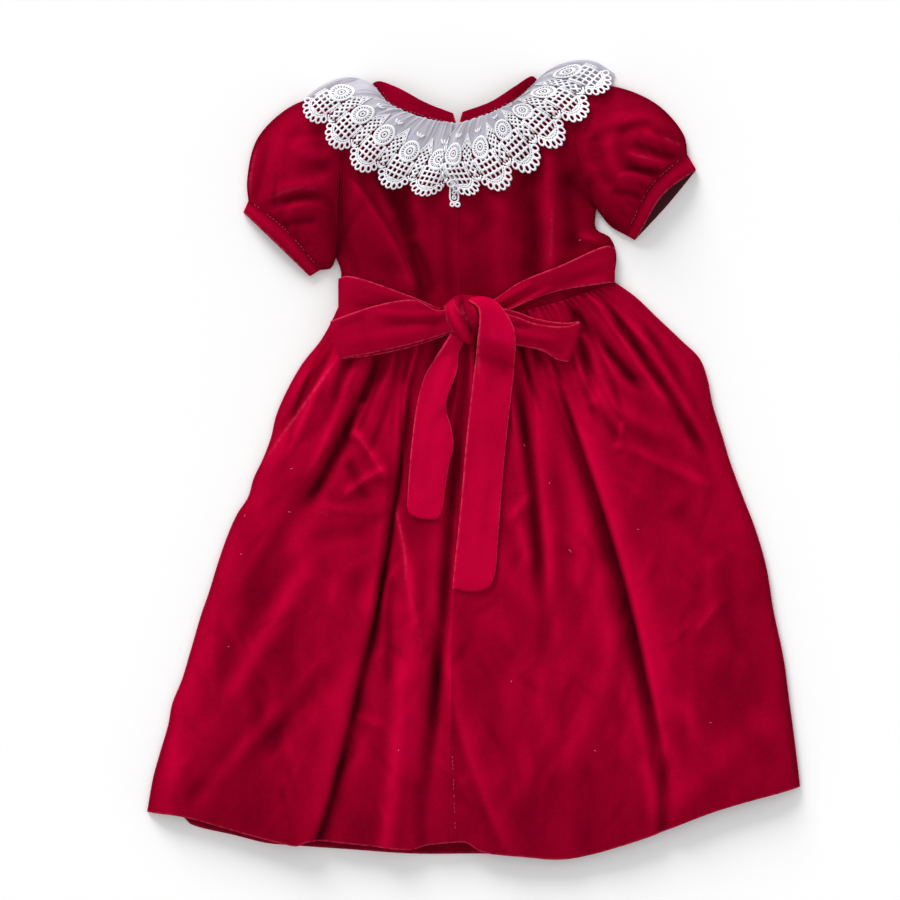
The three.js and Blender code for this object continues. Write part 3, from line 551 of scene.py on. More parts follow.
# Main folds of the back of the skirt: x0, y0, x1, y1, bow, west, east, high, lean
skirtFolds = [
    # The panel that lies over the middle at left, and the trough under its edge
    (-57, 88, -150, -360, 12, 34, 4.5, 7, 5),
    (-50, 88, -92, -180, 6, 4, 8, -6.5, 0),
    (-84, -110, -140, -350, 4, 5, 10, -3.5, 0),
    (-68, 4, -84, -120, 2, 3, 7, -3.5, 0),
    (-52, 45, -80, -150, 3, 4, 6, 4, 0),
    (-68, -24, -47, -148, 5, 4, 5, 3.2, 0),
    (-66, -85, -68, -190, 0, 4, 4, -2.5, 0),
    (-56, -140, -74, -350, 3, 8, 8, 4.5, 0),
    (-104, -203, -66, -216, 2, 5, 5, 1.5, 0, 0.4),
    # The deep trough between the tails, and the ridge east of it
    (-6, 96, -42, -300, 2, 6, 5, -8, 0, 0.3),
    (-52, -60, -50, -270, 3, 11, 8, 3.4, 0),
    (-44, -250, -40, -330, 0, 6, 6, -2.4, 0),
    (-30, -92, 42, -335, -14, 6, 15, 5, 0),
    (29, -30, 48, -92, 0, 6, 6, 2.5, 0),
    # Left: two panels with sharp edges, and the trough between them
    (-102, 88, -174, -14, 1, 4, 15, 3.5, -2),
    (-108, 92, -160, 10, 1, 6, 5, -3.5, 0),
    (-79, 96, -142, -26, 2, 16, 4, 5, 2),
    (-69, 96, -137, -44, 2, 4, 7, -7, 0),
    (-124, -14, -192, -128, 0, 9, 12, -4.5, 0),
    (-142, -66, -222, -204, 0, 12, 13, -4, 0, 0.35),
    (-122, -70, -202, -206, 0, 10, 11, 5, 0),
    (-98, -150, -180, -250, 0, 9, 10, -3.4, 0, 0.35),
    (-148, -190, -216, -264, 0, 8, 8, 3, 0),
    (-162, -192, -240, -284, 3, 7, 7, -2.4, 0),
    (-134, -38, -72, -43, 1, 4, 4, 1.2, 0, 0.4),
    (-142, -66, -74, -57, 1, 7, 7, -1.8, 0, 0.4),
    (-88, 50, -96, 12, -2, 4, 5, 3.6, 0),
    (-98, 26, -72, -18, 3, 4, 4.5, 3.8, 0),
    (-70, -6, -106, -32, -2, 4, 4, 3.2, 0),
    (-102, 2, -84, -36, 0, 5, 5, -3, 0),
    # Right of the tails
    (30, 92, 56, -138, 3, 6, 6, -7.5, 0, 0.3),
    (60, 20, 74, -170, 3, 9, 9, -2.4, 0, 0.4),
    (26, 66, 45, -54, 3, 5, 4, 3.4, 0),
    (52, -22, 22, -56, 0, 4, 4, 1.9, 0, 0.4),
    (42, 74, 62, -134, 4, 5, 12, 4, 0),
    (50, 94, 151, -267, 15.6, 13, 4.5, -8, 0, 0.3),
    (58, 94, 161, -275, 15.6, 3.5, 32, 6.5, -3.5, 0.3),
    (46, 86, 112, -205, 12, 12, 9, 4, 0),
    (124, -104, 64, -262, 6, 10, 12, 3, 0),
    (110, -60, 70, -170, -4, 8, 9, -1.8, 0),
    (118, -140, 146, -310, 3, 6, 6, 2.6, 0),
    (152, -230, 150, -310, 0, 5, 6, -3, 0),
    (76, 80, 166, 14, -8, 7, 9, 3, 0),
    (92, 46, 120, 10, 0, 5, 4, -3, 0),
    (120, 33, 114, 4, 0, 3, 3, 2, 0),
    (116, 14, 194, -26, 0, 5, 6, 2.4, 0),
    # From the waist at right
    (80, 124, 96, 40, 0, 4, 6, -5, 0),
    (70, 130, 138, 50, 0, 4.5, 4, -6, 0),
    (84, 138, 172, 24, 0, 6, 5, 5.4, 0),
    (96, 134, 194, -10, 2, 5, 5, -6.5, 0),
    (108, 134, 216, -34, 4, 6, 5, 5.6, 0),
    (126, 120, 212, -30, 3, 5, 5, -5.5, 0),
    (156, -34, 196, -82, 0, 11, 11, -3, 0),
    (204, -104, 170, -146, 0, 4.5, 4.5, 1.5, 0, 0.4),
    (240, -196, 140, -290, 5, 14, 14, 3.4, 0),
    (60, -150, 30, -290, 6, 14, 16, 2.6, 0),
    (20, -130, 10, -260, 3, 12, 12, -2, 0),
    (96, -240, 86, -330, 0, 12, 12, -2, 0),
    (200, -140, 228, -256, -3, 14, 12, -2, 0, 0.4),
]
skirtLines = [
    (-104, 84, -172, -8, 1, 0.6), (-98, 24, -73, -16, 3, 0.15), (-72, -8, -102, -30, -2, 0.12),
    (-129, -41, -112, -44, 0, 0.2), (-68, -30, -54, -106, 5, 0.5), (-73, -54, -76, -88, 0, 0.4),
    (-54, -100, -42, -160, 3, 0.2), (196, -112, 176, -139, 0, 0.12),
]
skirt = {
    "crown": (10, 110), "gathers": 7, "gatherHigh": 1.6, "gatherFrom": (4, 22), "gatherReach": 45,
    "ruffles": 25, "ruffleHigh": 1.5, "ruffleReach": 9,
    "hemShade": (-230, -300), "rightShade": (150, 250), "glowAt": -52, "glowWide": 26, "glow": (-90, -30),
    "creases": [
        # Pleats from the waist seam, then creases and small ones all over
        {"count": 26, "start": (-0.10, -0.05), "reach": (0.2, 0.42), "width": (2.0, 3.6), "high": (1.3, 2.6),
         "taper": 0.3},
        {"count": 84, "start": (0.02, 0.85), "reach": (0.08, 0.26), "width": (5, 13), "high": (0.4, 1.7),
         "turn": 0.6},
        {"count": 90, "start": (0.04, 0.93), "reach": (0.05, 0.14), "width": (2.5, 5), "high": (0.3, 1.1),
         "turn": 0.9},
    ],
}
skirtRows = skirtFolds + halfCreases(skirt["creases"], "Skirt", "centreSkirt", "WaistSeam", "BackHem")


# The back of the skirt in two halves. Its height is that of two layers at the sides, swelling inwards to
# a crown; folds, gathers that die out downwards and creases add to it
def skirtBack(half, label):
    side, waistSeam, hem = half + "Skirt", half + "WaistSeam", half + "BackHem"
    sideLength, waistLength, hemLength = (border(k)["length"] for k in (side, waistSeam, hem))
    u, v = np.meshgrid(spaced(hemLength * 0.92), spaced(sideLength))
    xy, x, y = laidOut(plan(side, "centreSkirt", waistSeam, hem), u, v)
    rise, lean = creased(skirtRows, x, y)
    width = mix(waistLength, hemLength, v)
    fromSide, fromCentre = u * width, (1 - u) * width
    fromWaist, fromHem = v * sideLength, (1 - v) * sideLength
    crown = mix(heights["waist"], heights["skirt"], smooth(fromWaist, *skirt["crown"]))
    free = smooth(fromWaist, *skirt["gatherFrom"]) * np.exp(-fromWaist / skirt["gatherReach"])
    gathers = skirt["gatherHigh"] * free * np.sin(2 * math.pi * skirt["gathers"] * u)
    ruffle = smooth(fromWaist, 0, 2.5) * np.exp(-fromWaist / skirt["ruffleReach"])
    waves = np.sin(2 * math.pi * skirt["ruffles"] * (u + 0.01 * np.sin(40 * u)))
    gathers += skirt["ruffleHigh"] * ruffle * waves
    z = edgeTop + np.maximum(crown - edgeTop + rise + gathers, 0) * swell(fromSide)
    # Painted shade in the troughs and painted highlight on the ridges, darker towards the hem and the right
    # side, and a painted highlight band lower down at x -52
    tone = foldShadeTone(z, 3, 10) - 0.12 * smooth(y, *skirt["hemShade"]) - 0.10 * smooth(x, *skirt["rightShade"])
    glow = np.exp(-(((x - skirt["glowAt"]) / skirt["glowWide"]) ** 2)) * (1 - smooth(y, *skirt["glow"]))
    z = z - lip(fromHem, 1.5) - lip(fromCentre, 0.03, 1.2) - lip(fromWaist, 1.2, 2.4)
    grid = np.dstack([xy + lean * swell(fromSide)[..., None], z])
    layDown(grid)
    # Painted sheen along the hem and the sides, and painted highlight lines on sharp creases
    sheenLine = 0.8 * edgeSheen(fromHem - 0.3) + 0.25 * edgeSheen(fromSide) + creaseHighlights(skirtLines, x, y)
    mesh = gridMesh("skirtBack" + label, grid, False, tone + 0.13 * glow, sheenLine)
    piece("skirtBack" + label, mesh, "skirt", "skirt_back_" + half, cloth["velvet"], "shadedLining")


wholeWaist = border("leftWaistSeam", pointsOf("rightWaistSeam")[::-1])
frontNeckline = border("leftShoulderSeam", "frontGather", pointsOf("rightShoulderSeam")[::-1])
leftSide, rightSide = (border(half + "Armhole", half + "SideSeam") for half in halves)


def onFloor(x, y):
    return np.full_like(x, cloth["velvet"])


def overCollar(x, y):
    return lift(x, y) + cloth["velvet"]


# The hidden front: each panel's plan, height, finish, thickness and steps of its grid
frontPanels = {
    "skirt_front": (
        plan("leftSkirt", "rightSkirt", wholeWaist, "frontHem"), onFloor, "skirt", 1.5, (130, 80)),
    "bodice_front": (
        plan(leftSide, rightSide, frontNeckline, wholeWaist), overCollar, "bodice", 1.5, (60, 40)),
    "neckband_front": (planBetween("frontBand", "frontGather"), overCollar, "bodice", 1.5, (60, 6)),
    "collar_front": (
        plan("leftCollarFold", "rightCollarFold", "frontGather", "frontCollarEdge"),
        lambda x, y: np.full_like(x, 1.1), "organza", 0.9, (120, 30)),
}
for node, (place, height, finish, thickness, (columns, rows)) in frontPanels.items():
    name = node.replace("_front", "Front")
    down = np.r_[np.linspace(0, 0.985, rows), 0.99, 0.995, 0.998, 1]
    u, v = np.meshgrid(np.linspace(0, 1, columns), down)
    xy, x, y = laidOut(place, u, v)
    # Painted sheen along the front layers' hem, and a flat tone below the middle that makes them darker, as
    # painted shade under the back ones
    sheenLine = None if finish == "organza" else 0.4 * smooth(v, 0.995, 1)
    mesh = gridMesh(name, np.dstack([xy, height(x, y)]), False, 0.36 + 0 * u, sheenLine)
    piece(name, mesh, finish, node, thickness)
print("front layers made")

for half, label in halves.items():
    skirtBack(half, label)
print("skirt made")

bodiceFolds = [
    (-112, 232, -44, 112, 7, 26, 4.5, 6, 4),
    (-82, 246, -34, 108, 8, 8, 15, -9, 0),
    (-44, 236, -30, 116, -5, 7, 9, 3.6, 0),
    (-52, 176, -32, 126, 3, 5, 5, -2.6, 0),
    (-24, 206, -18, 118, 0, 6, 6, -1.4, 0),
    (22, 220, 20, 120, 0, 9, 9, 1.6, 0),
    (43, 268, 49, 126, 0, 13, 7, -7, 0),
    (59, 262, 62, 136, 0, 5, 9, 4, 0),
    (74, 232, 82, 160, 0, 8, 8, -3.5, 0),
    (84, 240, 104, 176, -2, 7, 7, -7, 0),
    (80, 178, 116, 172, 0, 4, 4, 3.5, 0),
    (-104, 178, -92, 142, 0, 5, 5, -2, 0),
    (-112, 190, -106, 146, 0, 5, 5, -4, 0),
]
bodiceLines = [(63, 206, 61, 150, 0, 0.3), (-62, 170, -50, 134, 2, 0.2)]
bodice = {
    "neckFrom": 0.35, "shade": 0.25, "shadeWide": 7,
    "creases": [
        {"count": 20, "start": (0.1, 0.75), "reach": (0.12, 0.35), "width": (4, 9), "high": (0.4, 1.3),
         "turn": 0.9},
    ],
}
bodiceRows = bodiceFolds + halfCreases(bodice["creases"], "Armhole", "centreBodice", "Gather", "WaistSeam")


# The back of the bodice: low along the shoulder and side seams, open at the neck and the armhole
def bodiceBack(half, label):
    side = border(half + "Armhole", half + "SideSeam")
    top = border(half + "ShoulderSeam", half + "Gather")
    armEnd = border(half + "Armhole")["length"] / side["length"]
    shoulderEnd = border(half + "ShoulderSeam")["length"] / top["length"]
    u, v = np.meshgrid(spaced(top["length"], 1.4), spaced(side["length"], 1.4))
    xy, x, y = laidOut(plan(side, "centreBodice", top, half + "WaistSeam"), u, v)
    fromSide, fromTop = u * top["length"], v * side["length"]
    rise, lean = creased(bodiceRows, x, y)
    rise = rise * smooth(fromSide, 0, 14)
    sideOpen = np.where(v < armEnd, openAlong(v / armEnd), 0)
    neckOpen = smooth(u, shoulderEnd, shoulderEnd + bodice["neckFrom"])
    free = np.minimum(np.maximum(sideOpen, swell(fromSide)), np.maximum(neckOpen, swell(fromTop)))
    crown = mix(heights["bodice"], heights["waist"], smooth(v, 0.6, 1))
    z = lift(x, y) + edgeTop + np.maximum(crown - edgeTop + rise, 0) * free
    # Painted shade along the armhole, painted shade and highlight from the folds' height, and painted
    # highlight lines on creases
    shade = bodice["shade"] * np.exp(-fromSide / bodice["shadeWide"]) * smooth(v, 0.1, 0.5) * (v < armEnd)
    tone = foldShadeTone(z) + 0.03 - shade
    z = z - lip((1 - u) * top["length"], 0.1, 1.2) - lip(fromSide, 0.05) - lip((1 - v) * side["length"], 0.9)
    grid = np.dstack([xy + lean * free[..., None], z])
    layDown(grid)
    mesh = gridMesh("bodiceBack" + label, grid, False, tone, creaseHighlights(bodiceLines, x, y))
    piece("bodiceBack" + label, mesh, "bodice", "bodice_back_" + half, cloth["velvet"], "shadedLining")


for half, label in halves.items():
    bodiceBack(half, label)
print("bodice made")

sleeves = {
    "left": {
        "outer": ["leftShoulder", "leftTip", (-172, 257), (-181, 222), (-180, 206)],
        "under": ["leftUnderarm", (-114, 153), (-123, 151)],
        "cuffSeam": [(-180, 206), (-150, 184), (-123, 151)],
        "cuffEdge": [(-184, 197), (-160, 174), (-131, 146)],
        "gape": 6,
        "pulledBack": 0,
        "creases": [
            (-168, 262, -181, 200, -3, 3, 5, 3.0, 0),
            (-162, 258, -174, 204, -2, 4, 4, -2.6, 0),
            (-178, 206, -102, 219, 4, 5, 7, 2.8, 0, 0.4),
            (-174, 199, -108, 208, 3, 4.5, 4.5, -2.4, 0, 0.4),
            (-168, 192, -118, 203, 3, 5, 4, 2.2, 0, 0.4),
            (-140, 276, -148, 226, -2, 7, 8, -1.8, 0, 0.4),
            (-156, 186, -122, 190, 1, 4, 3, -2.4, 0),
            (-150, 250, -112, 236, 0, 7, 8, 2.4, 0),
            (-128, 268, -118, 222, 2, 6, 6, -2.2, 0),
            (-116, 212, -112, 160, 2, 6, 4, -3.5, 0),
        ],
        "lines": [(-170, 254, -178, 208, -3, 0.4), (-168, 205, -118, 214, 4, 0.4)],
    },
    "right": {
        "outer": ["rightShoulder", (102, 298), (144, 285), (168, 259), (171, 243)],
        "under": ["rightUnderarm", (110, 186), (122, 179)],
        "cuffSeam": [(171, 243), (142, 218), (122, 179)],
        "cuffEdge": [(178, 231), (155, 203), (129, 175)],
        "gape": 12,
        "pulledBack": 0.4,
        "creases": [
            (98, 266, 112, 212, -7, 6, 7, -3.5, 0),
            (108, 262, 122, 210, -5, 6, 7, 3.2, 0),
            (112, 257, 146, 268, 2, 4, 4, -2.8, 0),
            (100, 268, 172, 258, 8, 7, 6, 2.6, 0),
            (173, 246, 132, 262, 2, 3, 4, 3.0, 0),
            (166, 240, 124, 252, 2, 3, 4, -3.0, 0),
            (160, 234, 118, 244, 2, 3, 4, 2.8, 0),
            (152, 228, 118, 232, 0, 3, 3, -2.8, 0),
            (146, 220, 112, 224, -2, 3, 4, 2.6, 0),
            (137, 208, 108, 212, -2, 3, 3, -2.4, 0),
            (90, 226, 106, 186, 0, 5, 5, -3.5, 0),
        ],
        "lines": [(168, 250, 148, 258, 1, 0.4), (140, 238, 124, 242, 0, 0.3)],
    },
}
puff = {
    "high": 14, "flatter": 1.15, "wall": 1.2, "long": 70, "seamShade": 0.25, "shadeReach": 8,
    "creases": [
        # Up from the cuff, then down from the armhole
        {"count": 14, "start": (1.06, 1.12), "reach": (-0.55, -0.25), "width": (1.8, 3), "high": (0.6, 1.4),
         "turn": 0.2, "spread": (0.04, 0.97)},
        {"count": 9, "start": (-0.15, -0.08), "reach": (0.4, 0.7), "width": (3, 6), "high": (0.5, 1.0),
         "turn": 0.15, "spread": (0.05, 0.7)},
    ],
}
# The cuff's painted sheen at its edge, and the painted shade and highlight across its bulge
cuff = {"wall": 1.3, "bulge": 0.7, "deep": 9, "sheenLine": 0.8, "bulgeShading": (0.35, 0.72)}


# Round a flattened tube: along the lower layer, up round the fold, back along the upper layer and down.
# u runs across it and level from the lower face to the upper one
def tubeRing(width, size=cell):
    turn = np.radians([-55, -20, 20, 55])
    flat = spaced(width, size)
    over = 0.8 / width * np.cos(turn)
    level = 0.5 + 0.5 * np.sin(turn)
    u = np.r_[flat, 1 + over, flat[::-1], -over]
    return u, np.r_[0 * flat, level, 0 * flat + 1, level[::-1]]


# A puff: a flattened tube whose upper layer swells as an arch from the armhole to the cuff
def sleevePiece(half, label, shape):
    place = plan(shape["outer"], shape["under"], half + "Armhole", shape["cuffSeam"])
    across, level = tubeRing(border(shape["cuffSeam"])["length"] * 1.3)
    u, v = np.meshgrid(across, spaced(border(shape["outer"])["length"], 1.4))
    level = np.broadcast_to(level, u.shape)
    xy, x, y = laidOut(place, u, v)
    rows = shape["creases"]
    for pleats in puff["creases"]:
        rows = rows + flowCreases(place, **pleats)
    rise, _ = creased(rows, x, y)
    rise = rise * smooth(v, 0, 0.06) * (1 - smooth(v, 0.95, 1))
    arch = puff["high"] * np.sin(math.pi * v) ** puff["flatter"]
    swelling = mix(heights["bodice"] - edgeTop, shape["gape"], v) + arch
    bottom = lift(x, y)
    top = bottom + edgeTop + openAlong(u) * (swelling + rise)
    grid = np.dstack([xy, mix(bottom, top, level)])
    layDown(grid)
    # Painted shade along the armhole seam and from the folds' height, painted highlight on ridges and on
    # creases of the upper layer
    shade = puff["seamShade"] * np.exp(-v * puff["long"] / puff["shadeReach"]) * smooth(u, 0.3, 1)
    sheenLine = creaseHighlights(shape["lines"], x, y) * (level > 0.9)
    mesh = gridMesh("sleeve" + label, grid, True, foldShadeTone(top, 3, 8) - shade, sheenLine)
    piece("sleeve" + label, mesh, "sleeve", "sleeve_" + half, puff["wall"], "shadedLining")


# A flattened tube that gapes; its upper layer is pulled back by a share of its depth
def cuffPiece(half, label, shape):
    across, level = tubeRing(border(shape["cuffSeam"])["length"])
    down = np.array([0, 0.06, 0.14, 0.25, 0.4, 0.55, 0.7, 0.8, 0.88, 0.94, 0.97, 1])
    u, v = np.meshgrid(across, down)
    level = np.broadcast_to(level, u.shape)
    back = shape["pulledBack"] * np.sin(math.pi * np.clip(u, 0, 1)) * level
    top = edgeTop + shape["gape"] * openAlong(u)
    bulge = cuff["bulge"] * np.sin(math.pi * v) ** 0.5 * np.where(level > 0.5, 1, 0)
    xy = planBetween(shape["cuffSeam"], shape["cuffEdge"])(u, v * (1 - back))
    grid = np.dstack([xy, mix(0 * top, top, level) + bulge])
    layDown(grid)
    # A painted sheen line along the cuff's edge; the tone paints the cuff lighter where it bulges in the
    # middle and darker at its seam and edge
    sheenLine = cuff["sheenLine"] * edgeSheen((1 - v) * cuff["deep"])
    mesh = gridMesh("cuff" + label, grid, True, mix(*cuff["bulgeShading"], np.sin(math.pi * v)), sheenLine)
    piece("cuff" + label, mesh, "sleeve", "cuff_" + half, cuff["wall"], "shadedLining")


for half, label in halves.items():
    cuffPiece(half, label, sleeves[half])
    sleevePiece(half, label, sleeves[half])
print("sleeves made")


bandThick = 2.4


# The neckband stands on from the gathered edge of the bodice, folded over at its upper edge
def neckband(half, label):
    across, down = spaced(border(half + "Band")["length"], 1.6), closing(12)
    u, v = np.meshgrid(across, down)
    xy, x, y = laidOut(planBetween(half + "Band", half + "BandFoot"), u, v)
    z = lift(x, y) + edgeTop + cloth["seam"] - bandThick / 2
    z = z + (heights["bodice"] - edgeTop) * smooth(u, 0, 0.5)
    mesh, upper = doubled("neckband" + label, np.dstack([xy, z]), bandThick, across, down)
    layDown(upper)
    piece("neckband" + label, mesh, "sleeve", "neckband_back_" + half)


for half, label in halves.items():
    neckband(half, label)

collar = {
    "repeat": 29, "scallop": 3.6, "ruffles": 5, "ruffleHigh": 3.6, "gathers": 11, "gatherHigh": 1.1,
    "foldWide": (0.006, 0.016), "foldReach": (0.2, 0.6), "underLace": 1.2, "darker": 0.17,
}
lace = {
    "fan": (0, 15.4), "loops": 7, "loopSpread": 68, "loopAt": 12.6, "loopLong": 2.3, "loopSquash": 0.8,
    "tapeAt": (10.4, 8.9), "rungStep": 2.2, "netFrom": 12, "netPitch": 4.0, "netTop": 24.5,
    "rosette": (0, 30.6), "rosetteWide": 9.4, "spokes": (5.0, 6.9),
    "rings": [(1.6, 1.6, 10, 1.0), (4.0, 2.6, 18, 1.0), (7.9, 2.4, 30, 0.9)],  # radius, width, steps, height
    "foot": [(0, 10.2), (3.8, 13.4), (4.2, 24), (6, 32.5)],
    "pointAt": 46.5, "pointFoot": 32.5, "pointHalf": 6.4,
    "leaves": [(-40, 5.8), (0, 4.2), (44, 5.8)], "leafFoot": 42.4,  # turn and length
}


# The surface that the collar's organza and lace share. u goes from the shoulder fold to the centre back,
# v from the gathered edge to the line of the scallops
def collarSurface(half):
    place = plan(half + "CollarFold", half + "CollarCentre", half + "Gather", half + "CollarEdge")
    repeats = round(border(half + "CollarEdge")["length"] / collar["repeat"])
    under = underlay(6, 2)

    # Beyond the line of the scallops the last stretch runs on straight
    def surface(u, v, rise):
        inner = np.minimum(v, 1)
        xy = place(u, inner)
        xy = xy + (xy - place(u, inner - 0.05)) / 0.05 * (v - inner)[..., None]
        wave = 0.5 - 0.5 * np.cos(2 * math.pi * collar["ruffles"] * u)
        lying = np.maximum(1.5, under(xy[..., 0], xy[..., 1]))
        z = lying + collar["ruffleHigh"] * wave * v * smooth(u, 0, 0.1) + cloth["lace"]
        return np.concatenate([xy, (z + rise)[..., None]], -1)

    def depth(u):
        return np.linalg.norm(place(u, np.ones_like(u)) - place(u, np.zeros_like(u)), axis=-1)

    return surface, depth, repeats


# Height of the lace's upper outline over the scallops, p across a repeat: the higher of a rosette's
# circle and a pointed net between two of them
def laceTop(p):
    p = np.abs(p)
    disc = lace["rosette"][1] + np.sqrt(np.clip(lace["rosetteWide"] ** 2 - p**2, 0, None))
    fromPoint = np.abs(p - collar["repeat"] / 2) / lace["pointHalf"]
    point = lace["pointAt"] - (lace["pointAt"] - lace["pointFoot"]) * fromPoint
    return np.maximum(disc * (p < lace["rosetteWide"]), point)


# The organza of the collar, gathered at the neck in folds of uneven width that die out downwards
def organza(half, label, surface, depth, repeats):
    u, down = np.meshgrid(np.linspace(0, 1, repeats * 40 + 1), np.linspace(0, 1, 34))
    p = (u * repeats % 1 - 0.5) * collar["repeat"]
    v = down * (1 + (collar["scallop"] - laceTop(p) + collar["underLace"]) / depth(u))
    fine, teeth = np.zeros_like(u), np.zeros_like(u)
    for k in range(collar["gathers"] * 2):
        at = (k + random.uniform(0.1, 0.9)) / collar["gathers"] / 2
        wide, reach = random.uniform(*collar["foldWide"]), random.uniform(*collar["foldReach"])
        fold = np.exp(-(((u - at - random.uniform(-0.05, 0.05) * v) / wide) ** 2))
        fine += random.uniform(0.4, 1) * collar["gatherHigh"] * fold * np.exp(-v / reach)
        teeth += random.uniform(0.3, 1.1) * fold
    grid = surface(u, v, fine * smooth(v, 0, 0.03) - 0.3)
    grid[..., 1] += (1 - smooth(v, 0, 0.04)) * teeth
    # Painted shade in the troughs of the gathers and painted highlight on their ridges, the whole organza
    # darker by a share
    mesh = gridMesh("organza" + label, grid, False, foldShadeTone(fine, 3, 8, 1.6) - collar["darker"])
    piece("organza" + label, mesh, "organza", "collar_" + half, 0.3)


# A flat-bottomed cord along points in the plane: its section is set across the path, in its own widths
# and heights. Several are joined; closed ones come back to their start
def cordOutline(points, width, high, closed):
    points = np.array(points, float)
    if closed:
        points = points[:-1]
    ahead = np.roll(points, -1, 0) - points
    behind = points - np.roll(points, 1, 0)
    if not closed:
        ahead[-1], behind[0] = behind[-1], ahead[0]
    tangent = sum(k / np.linalg.norm(k, axis=1)[:, None] for k in (ahead, behind))
    tangent /= np.linalg.norm(tangent, axis=1)[:, None]
    sideways = np.stack([tangent[:, 1], -tangent[:, 0]], -1)
    section = np.array([(-0.5, 0.1), (-0.3, 0.85), (0.3, 0.85), (0.5, 0.1), (0, -0.25)])
    width = np.broadcast_to(width, len(points))
    flat = points[:, None] + sideways[:, None] * section[None, :, :1] * width[:, None, None]
    rise = np.broadcast_to(section[None, :, 1:] * high, flat.shape[:2] + (1,))
    vertices = np.concatenate([flat, rise], -1).reshape(-1, 3)
    rings, around = len(points), len(section)
    index = np.arange(rings * around).reshape(rings, around)
    index = np.hstack([index, index[:, :1]])
    if closed:
        index = np.vstack([index, index[:1]])
    quads = np.stack([index[:-1, :-1], index[:-1, 1:], index[1:, 1:], index[1:, :-1]], -1).reshape(-1, 4)
    faces = [tuple(q) for q in quads]
    if not closed:
        faces += [tuple(range(around))[::-1], tuple(range((rings - 1) * around, rings * around))]
    return vertices, faces


# Several meshes as one: the later ones' faces count on from the points before them
def joined(parts):
    vertices, faces, count = [], [], 0
    for points, quads in parts:
        vertices.append(points)
        faces += [tuple(k + count for k in face) for face in quads]
        count += len(points)
    return np.vstack(vertices), faces


# An arc of a circle or, squashed, of an ellipse, turned about its centre
def circle(centre, radius, steps, start=0, end=360, squash=1.0, turn=0.0):
    angle = np.radians(np.linspace(start, end, steps + 1))
    x, y = radius * np.cos(angle), radius * squash * np.sin(angle)
    c, s = math.cos(turn), math.sin(turn)
    return np.stack([centre[0] + x * c - y * s, centre[1] + x * s + y * c], -1)


# A straight line as points about a step apart
def line(start, end, step=2.2):
    count = max(1, round(math.dist(start, end) / step))
    t = np.linspace(0, 1, count + 1)[:, None]
    return np.array(start, float) * (1 - t) + np.array(end, float) * t


# The part of a straight line that lies inside a convex outline, or nothing
def clipped(start, end, outline):
    start, end = np.array(start, float), np.array(end, float)
    low, high = 0.0, 1.0
    for a, b in zip(outline, np.roll(outline, -1, 0)):
        inward = np.array([-(b - a)[1], (b - a)[0]])
        at, step = np.dot(start - a, inward), np.dot(end - start, inward)
        if abs(step) < 1e-9:
            if at < 0:
                return None
            continue
        if step > 0:
            low = max(low, -at / step)
        else:
            high = min(high, -at / step)
    if high - low < 0.02:
        return None
    return start + (end - start) * low, start + (end - start) * high


